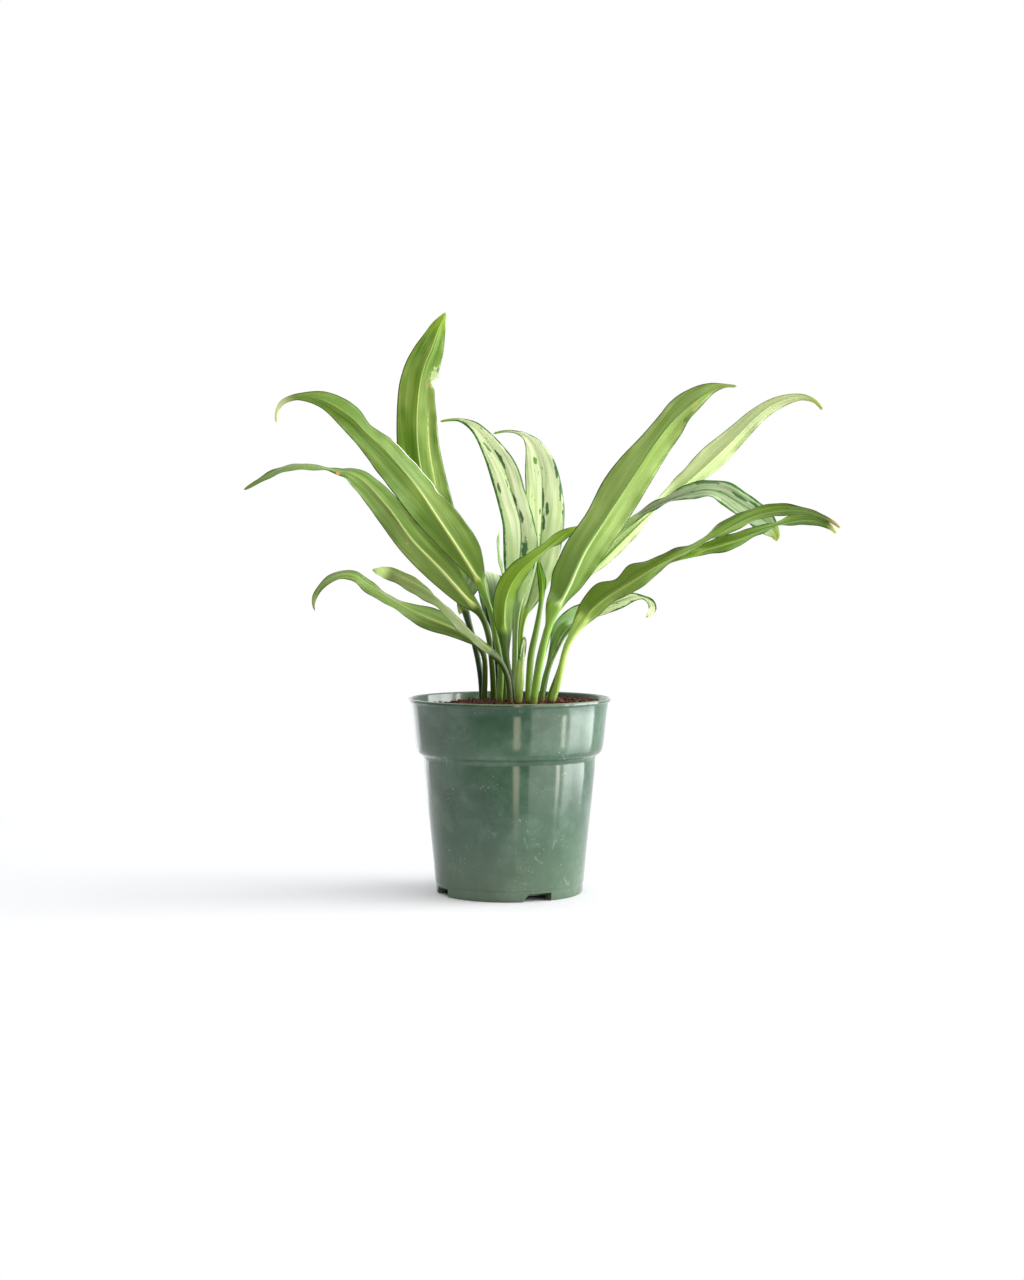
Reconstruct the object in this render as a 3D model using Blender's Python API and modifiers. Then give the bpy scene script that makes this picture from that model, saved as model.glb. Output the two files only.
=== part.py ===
"""A potted chinese evergreen: narrow waved leaves on long stalks, standing in the soil of a green nursery pot.

X is to the right, Y is away from the viewer, Z is up. The origin is on the pot's axis, on the surface it stands on.
"""
import math

import bmesh
import bpy
from mathutils import Vector

MM = 0.001
NAME = "potted_chinese_evergreen"
CLEARANCE = 0.3

# Pot, in millimetres: radius and height of each point of its outer side, from the lip down to the foot
LIP_RADIUS = 57.5
POT_HEIGHT = 111.0
FLOOR_TOP = 3.8
FOOT_RADIUS = 41.8
POT_OUTER = [
    (LIP_RADIUS, POT_HEIGHT - 0.5),
    (LIP_RADIUS, 109.2),
    (56.3, 108.5),
    (55.4, 103.0),
    (53.7, 87.0),
    (52.8, 81.6),
    (51.8, 79.6),
    (49.4, 77.6),
    (48.6, 70.0),
    (46.3, 47.0),
    (44.0, 24.0),
    (42.3, 6.4),
    (FOOT_RADIUS, 5.8),
    (FOOT_RADIUS - 0.1, 1.0),
]
# Underside: the foot ring, the raised floor inside it and the small flat gate pad in the middle
POT_UNDER = [(FOOT_RADIUS - 0.8, 0.0), (36.4, 0.0), (35.6, 2.2), (11.0, 2.2), (10.2, 0.0), (0.0, 0.0)]
POT_INNER = [
    (0.0, FLOOR_TOP),
    (39.6, FLOOR_TOP),
    (40.7, 5.4),
    (42.7, 24.0),
    (45.0, 47.0),
    (47.3, 70.0),
    (48.0, 78.6),
    (50.8, 81.0),
    (52.4, 87.0),
    (54.1, 103.0),
    (55.3, POT_HEIGHT - 0.7),
    (56.4, POT_HEIGHT),
]
POT_SIDES = 44

# Drainage notches, cut through the foot and the edge of the floor
NOTCHES = 4
FIRST_NOTCH = -68.0
NOTCH_WIDTH = 17.5
NOTCH_HEIGHT = 4.6
NOTCH_REACH = (33.5, 46.0)
NOTCH_SLANT = 4.0
NOTCH_LIP = 0.6
BELOW = 2.0

# Soil, in millimetres: its side just clear of the pot, and the rings of points of its top
SOIL_SIDE = [
    (0.0, 4.2),
    (39.1, 4.2),
    (40.2, 5.8),
    (46.8, 70.2),
    (47.4, 79.0),
    (50.2, 81.5),
    (51.8, 87.2),
    (53.4, 102.0),
]
SOIL_RINGS = (53.7, 45.0, 36.0, 27.0, 18.0, 9.0, 0.0)
SOIL_LEVEL = 106.6
SOIL_MOUND = 1.9
SOIL_TILT = 1.9
SOIL_CRUMB = 0.45
SOIL_SIDES = 34
ROOT_END = 98.0
HOLE_DEEPER = 0.4
HOLE_TOP = 124.0

# Leaves: half the thickness of a blade, how far its midrib stands out, and the longest steps along a leaf
HALF_BLADE = 0.38
RIB = 0.8
STALK_STEP = 16.5
BLADE_STEP = 9.5
COLUMNS = (-1.0, -0.5, 0.0, 0.5, 1.0)
ROUND_STEP = math.radians(72.0)
LEAST_WIDTH = 0.5
WAVE_LAG = 1.3

# The leaves' points were set out in the front view, seen from this far in front of the axis and this high
SIGHT_DISTANCE = 1250.0
SIGHT_HEIGHT = 197.0

GREEN = (0.16, 0.33, 0.07)
PALE_GREEN = (0.36, 0.52, 0.20)
SILVER_GREEN = (0.58, 0.72, 0.42)


class Leaf:
    """A leaf, from its stalk's end in the soil to its tip.

    Each row holds x, depth and height in the front view, the half width on the left and on the right of the
    midrib as seen with the tip up, the turn of the blade about its midrib, which takes the right half away from
    the viewer, and the fold of its two halves towards the viewer, in millimetres and degrees. The blade is flat
    from the row named by blade. A wave is its height at the margin, its number along the blade and its phase.
    """

    def __init__(self, name, rows, blade, upper_in_front, wave, colour, side=None):
        self.name = name
        self.rows = rows
        self.blade = blade
        self.upper_in_front = upper_in_front
        self.wave = wave
        self.colour = colour
        self.side = side


LEAVES = [
    Leaf(
        "leaf_tall",
        [
            (-15.5, 27, ROOT_END, 1.8, 1.8, 0, 0),
            (-15.5, 27, 110, 1.8, 1.8, 0, 0),
            (-16.9, 26, 126, 1.7, 1.7, 0, 0),
            (-19.9, 25, 141, 1.7, 1.7, 0, 0),
            (-24, 23, 156, 2, 2, 0, 0),
            (-27.6, 20.5, 170, 3.4, 3.4, 0, -10),
            (-32, 18, 184, 8, 8, 5, -20),
            (-37.5, 15, 199, 12, 12, 5, -20),
            (-44, 12, 215, 13.5, 14, 0, -18),
            (-49, 10, 234, 13.5, 14, 0, -15),
            (-52, 8, 253, 12.5, 13, 0, -15),
            (-52.5, 6, 270, 12, 12, 5, -15),
            (-51, 3, 287, 12, 9.5, 10, -15),
            (-48.5, 0, 298, 11, 10, 15, -20),
            (-44, -4, 309, 9, 8, 20, -25),
            (-39.5, -8, 321.5, 4.5, 4, 20, -25),
            (-36, -10, 329, 0.7, 0.7, 20, -10),
        ],
        5,
        False,
        (0.8, 3, 0.0),
        GREEN,
    ),
    Leaf(
        "leaf_left_high",
        [
            (-5.5, 4, ROOT_END, 1.8, 1.8, 0, 0),
            (-5.5, 4, 110, 1.8, 1.8, 0, 0),
            (-5, 3, 130, 1.7, 1.7, 0, 0),
            (-7.7, 0, 144, 1.7, 1.7, 0, 0),
            (-10, -3, 157, 1.7, 1.7, 0, 0),
            (-13, -6, 166.5, 1.7, 1.7, 0, 0),
            (-16.5, -9, 175, 2.4, 3, 0, -10),
            (-20, -11, 181, 4, 7, -10, -15),
            (-27.5, -15, 193, 7.5, 12, -10, -20),
            (-39.5, -21, 211, 11.5, 11.5, 0, -20),
            (-53.7, -27, 231.6, 13, 9.5, 15, -20),
            (-70, -32, 250.4, 11, 8.5, 20, -20),
            (-81, -35, 260.5, 8.5, 8.5, 15, -20),
            (-90, -37, 269.7, 8, 8, 5, -15),
            (-104.8, -39, 278.6, 4.2, 6, 0, -15),
            (-119, -40, 281.2, 1.8, 2.2, 0, 0),
            (-128, -40, 278.6, 1.5, 1.5, 0, 0),
            (-131.5, -40, 273.5, 1, 1, 0, 0),
            (-132.2, -40, 266.8, 0.6, 0.6, 0, 0),
        ],
        7,
        False,
        (1.2, 3.5, 0.6),
        GREEN,
    ),
    Leaf(
        "leaf_left_middle",
        [
            (-9, 20, ROOT_END, 1.8, 1.8, 0, 0),
            (-9, 20, 110, 1.8, 1.8, 0, 0),
            (-10, 17, 130, 1.7, 1.7, 0, 0),
            (-12.5, 12, 148, 1.7, 1.7, 0, 0),
            (-17, 8, 159, 2.2, 2.4, 0, -10),
            (-25.3, 4, 168, 6, 5.5, 0, -20),
            (-39.5, 0, 184, 9.5, 9.5, 0, -20),
            (-55.4, -4, 200.4, 9.5, 9.5, 0, -20),
            (-67.9, -8, 217.4, 9.2, 8.5, 10, -20),
            (-82, -11, 232.8, 7.5, 7.5, 25, -25),
            (-91, -13, 237.6, 6, 6, 50, -20),
            (-100.3, -15, 239, 5, 5, 75, -10),
            (-109, -17, 241.5, 5, 5, 70, -10),
            (-118, -18, 242.8, 4.5, 4.5, 62, -10),
            (-126, -19, 241.6, 3.6, 3.6, 55, -10),
            (-136, -20, 237.4, 2.4, 2.4, 45, 0),
            (-144.6, -21, 232.3, 1.4, 1.4, 30, 0),
            (-150.8, -22, 228.8, 0.6, 0.6, 30, 0),
        ],
        5,
        False,
        (1.0, 4, 2.0),
        GREEN,
    ),
    Leaf(
        "leaf_left_low",
        [
            (-14.5, 19, ROOT_END, 1.7, 1.7, 0, 0),
            (-14.5, 19, 110, 1.7, 1.7, 0, 0),
            (-14, 17, 122, 1.6, 1.6, 0, 0),
            (-14.5, 13, 134, 1.6, 1.6, 0, 0),
            (-18, 10, 141, 2, 2.2, 0, -10),
            (-23, 8, 145, 3.5, 4, 0, -15),
            (-32.7, 6, 150.4, 5.5, 6, 0, -20),
            (-45, 4, 155.4, 7, 7.2, 0, -20),
            (-56.5, 2, 160.6, 5, 5, 25, -20),
            (-69, 0, 167.6, 4.5, 4.5, 45, -20),
            (-80.4, -1, 175, 4.5, 4.5, 55, -15),
            (-88, -3, 180, 4, 4, 45, -10),
            (-96, -4, 180.8, 3.6, 3.6, 35, -10),
            (-104, -5, 177, 2.6, 2.6, 30, 0),
            (-110, -5, 169.6, 1.6, 1.6, 30, 0),
            (-111.5, -6, 164, 1, 1, 30, 0),
            (-110.6, -6, 160, 0.6, 0.6, 30, 0),
        ],
        5,
        False,
        (1.2, 3, 1.0),
        GREEN,
    ),
    Leaf(
        "leaf_left_folded",
        [
            (0.3, -16, ROOT_END, 1.6, 1.6, 0, 0),
            (0.3, -16, 110, 1.6, 1.6, 0, 0),
            (-1, -17, 122, 1.6, 1.6, 0, 0),
            (-4.4, -19, 130, 1.7, 1.7, 20, 0),
            (-8.5, -21, 135, 2.4, 2.4, 45, -10),
            (-14.5, -24, 141, 4.5, 4.5, 60, -20),
            (-23.6, -28, 149.6, 6, 6, 68, -20),
            (-33.8, -32, 160, 6.5, 6.5, 70, -20),
            (-41.2, -35, 167.2, 6.8, 6.8, 68, -20),
            (-48.6, -37, 173, 7, 7, 60, -20),
            (-56.5, -39, 177.6, 6.8, 6.8, 52, -20),
            (-64.5, -41, 181.6, 6, 6, 45, -20),
            (-71.5, -42, 184, 4.4, 4.4, 40, -15),
            (-77, -43, 184.8, 1.6, 2, 35, 0),
        ],
        5,
        False,
        (0.7, 3, 0.0),
        GREEN,
    ),
    Leaf(
        "leaf_silver_left",
        [
            (2.6, 14, ROOT_END, 1.8, 1.8, 0, 0),
            (2.6, 14, 110, 1.8, 1.8, 0, 0),
            (3, 15, 130, 1.7, 1.7, 0, 0),
            (3.2, 16, 148, 1.7, 1.7, 0, 0),
            (3.7, 18, 160, 2.6, 2.6, 0, 10),
            (4.3, 21, 172, 6, 6, 0, 20),
            (5.4, 24, 186, 9.5, 9.5, 0, 20),
            (6.5, 27, 198.7, 11, 10.5, 0, 20),
            (6, 31, 210.6, 11, 8.5, 0, 20),
            (2, 36, 224.8, 10.2, 8.2, 0, 20),
            (-2.6, 41, 239.6, 10, 8, 5, 20),
            (-9.4, 46, 251.5, 7.2, 6.4, 5, 20),
            (-19.6, 51, 263.6, 3, 3.8, 10, 10),
            (-28, 55, 268.2, 1.2, 1.2, 0, 0),
            (-35, 58, 268.2, 0.8, 0.8, 0, 0),
            (-39.5, 60, 267.4, 0.6, 0.6, 0, 0),
        ],
        5,
        True,
        (0.7, 3, 1.5),
        SILVER_GREEN,
    ),
    Leaf(
        "leaf_silver_right",
        [
            (5.8, 27, ROOT_END, 1.8, 1.8, 0, 0),
            (5.8, 27, 110, 1.8, 1.8, 0, 0),
            (6, 27, 130, 1.7, 1.7, 0, 0),
            (6.4, 28, 148, 1.7, 1.7, 0, 0),
            (8, 29, 158, 2.6, 2.6, 0, 10),
            (10.4, 31, 166, 5, 6, 0, 15),
            (13, 33, 175, 7.5, 9, 0, 20),
            (15.6, 36, 186.2, 9.5, 12, 0, 20),
            (17.3, 40, 198.7, 10.5, 13.5, 0, 20),
            (18.5, 46, 216.3, 10.5, 14, 0, 20),
            (18.5, 51, 230, 10.5, 12.2, 0, 20),
            (17.4, 56, 242, 9.8, 9.6, 0, 20),
            (14, 60, 252.6, 6, 6, 5, 20),
            (9.5, 62, 258.6, 2.5, 2.6, 5, 10),
            (4.5, 64, 261.2, 1.1, 1.1, 0, 0),
            (-2, 66, 262, 0.8, 0.8, 0, 0),
            (-9.4, 68, 260.6, 0.6, 0.6, 0, 0),
        ],
        5,
        True,
        (0.7, 3, 0.0),
        SILVER_GREEN,
    ),
    Leaf(
        "leaf_front",
        [
            (1.8, -3, ROOT_END, 1.8, 1.8, 0, 0),
            (1.8, -3, 110, 1.8, 1.8, 0, 0),
            (0.2, -4, 122, 1.8, 1.8, 0, 0),
            (-2, -6, 134, 2, 2, 0, 0),
            (-2.8, -8, 144, 3.2, 3.6, 5, -10),
            (-3.2, -11, 155, 5.8, 6, 10, -20),
            (-2.4, -14, 166, 7, 6.8, 15, -20),
            (0.8, -17, 175, 7, 6.6, 20, -20),
            (6.4, -19, 183, 6.4, 6, 30, -20),
            (13.3, -21, 189.6, 5.4, 5.2, 45, -20),
            (20.2, -22, 195, 4.6, 4.6, 50, -20),
            (26.4, -23, 200, 4.2, 4.2, 40, -10),
            (33, -23, 204.6, 3, 3, 30, 0),
            (40.6, -24, 208, 0.6, 0.6, 20, 0),
        ],
        5,
        False,
        (0.6, 2, 0.5),
        PALE_GREEN,
    ),
    Leaf(
        "leaf_right_high",
        [
            (13.9, -18, ROOT_END, 2.1, 2.1, 0, 0),
            (13.9, -18, 110, 2.1, 2.1, 0, 0),
            (15.8, -19, 121, 2.1, 2.1, 0, 0),
            (17.4, -20, 130, 2, 2, 0, 0),
            (19.6, -22, 141, 2, 2, 0, 0),
            (22.6, -24, 152, 2.4, 2, 0, 0),
            (26.4, -26, 160.6, 6.4, 2.4, 0, -10),
            (30.4, -28, 167.2, 9.6, 3.4, -5, -20),
            (34.4, -30, 175, 12.6, 6.6, -5, -20),
            (38.3, -32, 184, 12.8, 9.2, -5, -20),
            (43.6, -35, 195, 12.2, 10.8, 0, -20),
            (53.1, -39, 210, 11.4, 11.4, 0, -20),
            (63.3, -43, 226, 13.2, 11.4, 0, -20),
            (72, -47, 239.6, 12, 10.8, 0, -20),
            (82.1, -51, 254.6, 8.8, 9.8, 0, -20),
            (90.4, -54, 265.4, 8, 9, 0, -20),
            (98, -56, 273, 9.8, 6, -10, -20),
            (106.5, -58, 280, 8, 4.4, -10, -20),
            (114.6, -59, 285.2, 4.2, 2.2, 0, -10),
            (121.8, -60, 287.6, 1.2, 1.2, 0, 0),
            (129.2, -60, 287.2, 0.6, 0.6, 0, 0),
        ],
        7,
        False,
        (1.0, 3.5, 2.5),
        GREEN,
    ),
    Leaf(
        "leaf_right_pale",
        [
            (13.6, 17, ROOT_END, 1.7, 1.7, 0, 0),
            (13.6, 17, 110, 1.7, 1.7, 0, 0),
            (16.2, 17, 130, 1.6, 1.6, 0, 0),
            (19.2, 16, 143, 1.6, 1.6, 0, 0),
            (23, 14, 155, 1.6, 1.6, 0, 0),
            (29.6, 11, 167, 1.6, 1.6, 0, 0),
            (40, 7, 178.6, 2, 2, 0, -5),
            (51.4, 3, 187.6, 3.6, 4, 10, -20),
            (59, 0, 195, 5.4, 5.4, 20, -20),
            (69, -4, 205, 5.6, 5.4, 30, -20),
            (81, -8, 216.6, 5.4, 5.4, 62, -15),
            (92.3, -11, 226.5, 5.6, 5.6, 50, -15),
            (102.4, -14, 234.6, 6.6, 6.2, 30, -20),
            (114.5, -17, 245, 8.8, 7, 10, -20),
            (129, -20, 259, 6.8, 5.6, 5, -20),
            (139.5, -23, 269.6, 5.4, 4.6, 0, -20),
            (150.6, -25, 277.4, 3.8, 3.8, 0, -15),
            (164, -27, 281.2, 2, 2, 0, 0),
            (172.6, -28, 279, 1.2, 1.2, 0, 0),
            (177.5, -28, 273.7, 0.6, 0.6, 0, 0),
        ],
        7,
        False,
        (0.8, 4, 1.0),
        PALE_GREEN,
    ),
    Leaf(
        "leaf_right_arching",
        [
            (14.6, 4, ROOT_END, 1.7, 1.7, 0, 0),
            (14.6, 4, 110, 1.7, 1.7, 0, 0),
            (17.4, 3, 128, 1.6, 1.6, 0, 0),
            (20.4, 2, 141, 1.6, 1.6, 0, 0),
            (24, 0, 153.8, 1.6, 1.6, 0, 0),
            (30.6, -4, 167.5, 1.6, 1.6, 0, 0),
            (40.6, -9, 182, 1.7, 1.7, 0, 0),
            (51.4, -14, 194.7, 1.8, 1.8, -20, 0),
            (60.5, -18, 203.2, 2.2, 2.2, -40, 5),
            (69.6, -21, 211.2, 3, 3, -60, 10),
            (80, -23, 218, 4, 4, -60, 15),
            (91, -24, 223.2, 5, 5, -58, 15),
            (102, -25, 226.8, 6, 6, -48, 15),
            (111, -26, 228.8, 6.8, 6.8, -40, 15),
            (120, -26, 227, 7.4, 7.4, -30, 15),
            (129, -27, 221.8, 7.6, 7.6, -25, 15),
            (137, -27, 216.4, 7.6, 7.6, -20, 15),
            (145.2, -27, 209.6, 6.6, 6.6, -15, 15),
            (150.8, -27, 203.6, 3, 3, 0, 5),
            (151.6, -27, 199.6, 0.7, 0.7, 0, 0),
        ],
        10,
        True,
        (1.0, 4, 0.0),
        SILVER_GREEN,
    ),
    Leaf(
        "leaf_right_long",
        [
            (24.4, -2, ROOT_END, 1.9, 1.9, 0, 0),
            (24.4, -2, 108, 1.9, 1.9, 0, 0),
            (26.6, -4, 116, 1.9, 1.9, 0, 0),
            (29.3, -8, 127, 1.8, 1.8, 0, 0),
            (31.6, -11, 137, 1.8, 1.8, 0, 0),
            (35, -14, 145, 2, 2, 0, 0),
            (40.4, -17, 153.6, 4.4, 3.4, 0, -10),
            (46.9, -20, 161.4, 8, 6, 0, -20),
            (54.8, -23, 168, 9.4, 5.4, 5, -20),
            (62.8, -26, 173, 5.8, 6, 5, -20),
            (71.9, -29, 178.6, 8.8, 6.6, 5, -20),
            (81, -32, 184.4, 5.4, 5.8, 15, -20),
            (90, -35, 189.4, 4, 4.4, 40, -20),
            (99.1, -37, 193.8, 4.4, 4.6, 55, -15),
            (108.2, -39, 198, 4.6, 4.6, 58, -15),
            (117.3, -41, 203.2, 4.8, 4.8, 55, -15),
            (126.6, -42, 208.6, 5.4, 5.4, 45, -15),
            (136.8, -43, 213.4, 5.6, 5.6, 40, -15),
            (147, -44, 216.2, 5, 5, 40, -15),
            (157, -45, 217.4, 3.8, 3.8, 40, -10),
            (167.3, -46, 217, 2.6, 2.6, 40, 0),
            (176.4, -46, 214.2, 1.6, 1.6, 30, 0),
            (183.6, -46, 210.4, 1, 1, 20, 0),
            (188.3, -46, 206.7, 0.6, 0.6, 20, 0),
        ],
        7,
        False,
        (1.2, 5, 0.0),
        GREEN,
    ),
    Leaf(
        "leaf_right_under",
        [
            (22, 6, ROOT_END, 1.6, 1.6, 0, 0),
            (22, 6, 108, 1.6, 1.6, 0, 0),
            (28.6, 1, 127, 1.5, 1.5, 0, 0),
            (33.4, -4, 143, 1.5, 1.5, 0, 0),
            (42, -8, 155, 1.5, 1.5, 0, 0),
            (55, -14, 167.5, 1.5, 1.5, 0, 0),
            (72, -20, 178.4, 1.5, 1.5, 0, 0),
            (90, -26, 188.4, 1.6, 1.6, 0, 0),
            (102.5, -29, 192.6, 2.2, 2.4, 0, -5),
            (111.6, -31, 195.4, 3.4, 3.6, 10, -15),
            (120.7, -33, 197.8, 4.6, 5, 15, -15),
            (130, -34, 200.8, 4.6, 5, 25, -15),
            (139.6, -35, 204.8, 4.2, 4.4, 55, -10),
            (149.1, -36, 208.2, 4.2, 4.2, 62, -10),
            (159.3, -37, 210.8, 4.4, 4.4, 55, -10),
            (168.4, -38, 212, 4.4, 4.4, 40, -10),
            (176.4, -38, 210.6, 3, 3, 30, 0),
            (182.4, -39, 207.4, 1.4, 1.4, 20, 0),
            (186, -39, 203.8, 0.6, 0.6, 20, 0),
        ],
        9,
        False,
        (0.8, 4, 1.0),
        GREEN,
    ),
    Leaf(
        "leaf_right_low",
        [
            (18.2, -5, ROOT_END, 1.8, 1.8, 0, 0),
            (18.2, -5, 108, 1.8, 1.8, 0, 0),
            (20, -4, 120, 1.8, 1.8, 0, 0),
            (23, -2, 131, 1.8, 1.8, 0, 0),
            (26.6, 0, 139, 4.2, 1.8, 0, 5),
            (31.5, 3, 147.6, 8, 2, 0, 10),
            (38.9, 5, 155, 8.6, 3, 0, 15),
            (46.3, 6, 159.6, 6.4, 4, 0, 15),
            (54.2, 5, 162.8, 4.6, 4.6, 0, 15),
            (62.8, 3, 166, 4, 4.6, 0, 15),
            (70.4, 1, 168.2, 2.4, 2.8, 0, 10),
            (76, 0, 167.8, 1.2, 1.2, 0, 0),
            (80, -1, 165.4, 2, 2, 0, 0),
            (81.2, -2, 161.6, 2.4, 2.2, 0, 0),
            (79.6, -3, 158.4, 1.6, 1.4, 0, 0),
            (77.5, -3, 156.4, 0.6, 0.6, 0, 0),
        ],
        6,
        True,
        (0.6, 4, 1.0),
        SILVER_GREEN,
    ),
    Leaf(
        "leaf_back",
        [
            (-7.5, 31, ROOT_END, 1.8, 1.8, 0, 0),
            (-7.5, 31, 110, 1.8, 1.8, 0, 0),
            (-8, 30, 130, 1.7, 1.7, 0, 0),
            (-8.6, 30, 148, 1.8, 1.8, 0, 5),
            (-9.6, 32, 159, 5, 5, 0, 15),
            (-10.8, 35, 169, 8, 8, 10, 20),
            (-12.8, 41, 177, 9.5, 9.5, 25, 20),
            (-15.6, 52, 183, 10, 10, 40, 20),
            (-19.6, 65, 182, 9.6, 9.6, 40, 20),
            (-23.6, 77, 175.4, 7.6, 7.6, 30, 20),
            (-26.6, 87, 166.4, 4.4, 4.4, 20, 15),
            (-28.6, 94, 158, 0.7, 0.7, 10, 0),
        ],
        5,
        True,
        (0.8, 3, 0.0),
        GREEN,
        Vector((1, 0, 0)),
    ),
    Leaf(
        "spear_front",
        [
            (10.6, -8, ROOT_END, 1.9, 1.9, 0, 0),
            (10.6, -8, 108, 1.9, 1.9, 0, 0),
            (11.2, -8, 122, 1.9, 1.9, 0, 0),
            (12.4, -9, 136, 1.9, 1.9, 0, 0),
            (15.4, -9, 150, 1.7, 1.7, 0, 0),
            (17.8, -10, 164, 1.4, 1.4, 0, 0),
            (18.5, -10, 171, 2, 1.8, 0, -15),
            (18.5, -10, 177, 2.6, 2.6, 0, -20),
            (17.4, -10, 183, 1.9, 2, 0, -15),
            (16.3, -10, 189, 0.6, 0.6, 0, 0),
        ],
        6,
        False,
        (0.0, 1, 0.0),
        GREEN,
    ),
    Leaf(
        "spear_back",
        [
            (-3, 13, ROOT_END, 1.5, 1.5, 0, 0),
            (-3, 13, 110, 1.5, 1.5, 0, 0),
            (-3, 12, 132, 1.3, 1.3, 0, 0),
            (-2.6, 11, 152, 1.2, 1.2, 40, 0),
            (-2.4, 10, 168, 2, 2, 70, -5),
            (-3.7, 8, 182, 3.2, 3.2, 75, -10),
            (-5.6, 7, 191.6, 3.2, 3.2, 75, -10),
            (-6.4, 6, 199, 2.2, 2.2, 75, -10),
            (-6, 5, 205.5, 0.6, 0.6, 75, 0),
        ],
        5,
        False,
        (0.0, 1, 0.0),
        GREEN,
    ),
    Leaf(
        "shoot_centre",
        [
            (5.3, -12, ROOT_END, 1.8, 1.8, 0, 0),
            (5.3, -12, 108, 1.8, 1.8, 0, 0),
            (5.3, -12, 119, 2.9, 2.9, 0, 0),
            (6, -12, 129, 2.1, 2.1, 0, 0),
            (7, -12, 136, 1.8, 2.2, 0, 10),
            (8, -12, 142, 1.8, 1.8, 0, 15),
            (8.4, -12, 146, 0.6, 0.6, 0, 0),
        ],
        4,
        True,
        (0.0, 1, 0.0),
        PALE_GREEN,
    ),
]


def material(name, colour, roughness):
    made = bpy.data.materials.new(name)
    made.use_nodes = True
    surface = made.node_tree.nodes["Principled BSDF"]
    surface.inputs["Base Color"].default_value = (*colour, 1.0)
    surface.inputs["Roughness"].default_value = roughness
    surface.inputs["Metallic"].default_value = 0.0
    return made


def new_collection(name):
    made = bpy.data.collections.new(name)
    bpy.context.scene.collection.children.link(made)
    return made


def add_object(name, mesh, collection, finish=None):
    made = bpy.data.objects.new(name, mesh)
    collection.objects.link(made)
    if finish:
        mesh.materials.append(finish)
    return made


def hide_cutter(cutter):
    cutter.hide_render = True
    cutter.display_type = "WIRE"


def subtract(body, cutters):
    cut = body.modifiers.new("Cut", "BOOLEAN")
    cut.operation = "DIFFERENCE"
    cut.operand_type = "COLLECTION"
    cut.collection = cutters


def finish_mesh(shape, name):
    mesh = bpy.data.meshes.new(name)
    shape.to_mesh(mesh)
    shape.free()
    return mesh


def notch_cutter(number, cutters):
    """A wedge with one slanted side that opens one drainage notch."""
    near, far = NOTCH_REACH
    half = NOTCH_WIDTH / 2
    slanted = [(half, NOTCH_HEIGHT), (-half + NOTCH_SLANT, NOTCH_HEIGHT), (-half, NOTCH_LIP)]
    outline = [(-half, -BELOW), (half, -BELOW)] + slanted
    shape = bmesh.new()
    face = shape.faces.new([shape.verts.new((x * MM, -near * MM, z * MM)) for x, z in outline])
    grown = bmesh.ops.extrude_face_region(shape, geom=[face])["geom"]
    moved = [item for item in grown if isinstance(item, bmesh.types.BMVert)]
    bmesh.ops.translate(shape, verts=moved, vec=(0.0, (near - far) * MM, 0.0))
    bmesh.ops.recalc_face_normals(shape, faces=shape.faces)
    cutter = add_object(f"notch_{number}", finish_mesh(shape, "notch"), cutters)
    cutter.rotation_euler.z = math.radians(FIRST_NOTCH + number * 360.0 / NOTCHES)
    hide_cutter(cutter)


def make_pot(parts):
    """The turned shell: up the inside, over the lip, down the outside and in under the floor."""
    points = POT_INNER + POT_OUTER + POT_UNDER
    mesh = bpy.data.meshes.new("pot")
    places = [(radius * MM, 0.0, height * MM) for radius, height in points]
    mesh.from_pydata(places, [(i, i + 1) for i in range(len(points) - 1)], [])
    pot = add_object("pot", mesh, parts, material("pot_plastic", (0.10, 0.22, 0.16), 0.3))
    screw = pot.modifiers.new("Turned", "SCREW")
    screw.steps = POT_SIDES
    screw.render_steps = POT_SIDES
    screw.use_merge_vertices = True
    screw.merge_threshold = 0.00005
    cutters = new_collection("pot_cutters")
    for number in range(NOTCHES):
        notch_cutter(number, cutters)
    subtract(pot, cutters)


def soil_height(x, y):
    """The mounded, lightly crumbled top of the soil, which rises to the right."""
    edge = SOIL_RINGS[0]
    reach = math.hypot(x, y) / edge
    crumb = math.sin(0.31 * x + 1.1) * math.cos(0.27 * y) + 0.6 * math.sin(0.53 * y + 0.47 * x)
    return SOIL_LEVEL + SOIL_MOUND * (1.0 - reach * reach) + SOIL_TILT * x / edge + SOIL_CRUMB * crumb


def make_soil(parts):
    shape = bmesh.new()
    points = SOIL_SIDE + [(radius, SOIL_LEVEL) for radius in SOIL_RINGS]
    line = [shape.verts.new((radius * MM, 0.0, height * MM)) for radius, height in points]
    edges = [shape.edges.new(pair) for pair in zip(line, line[1:])]
    around = {"cent": (0, 0, 0), "axis": (0, 0, 1), "angle": math.tau, "steps": SOIL_SIDES}
    bmesh.ops.spin(shape, geom=line + edges, use_merge=True, **around)
    bmesh.ops.remove_doubles(shape, verts=shape.verts, dist=0.00001)
    for vert in shape.verts:
        if abs(vert.co.z - SOIL_LEVEL * MM) < 0.01 * MM:
            vert.co.z = soil_height(vert.co.x / MM, vert.co.y / MM) * MM
    bmesh.ops.recalc_face_normals(shape, faces=shape.faces)
    soil = add_object("soil", finish_mesh(shape, "soil"), parts, material("coir", (0.11, 0.045, 0.025), 0.95))
    cutters = new_collection("soil_cutters")
    for leaf in LEAVES:
        hide_cutter(add_object(f"{leaf.name}_hole", stalk_hole(leaf), cutters))
    subtract(soil, cutters)


def real_place(x, depth, height):
    """Where a point of the front view lies, once it is moved along its line of sight to its depth."""
    spread = 1.0 + depth / SIGHT_DISTANCE
    return Vector((x * spread, depth, SIGHT_HEIGHT + (height - SIGHT_HEIGHT) * spread))


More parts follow.
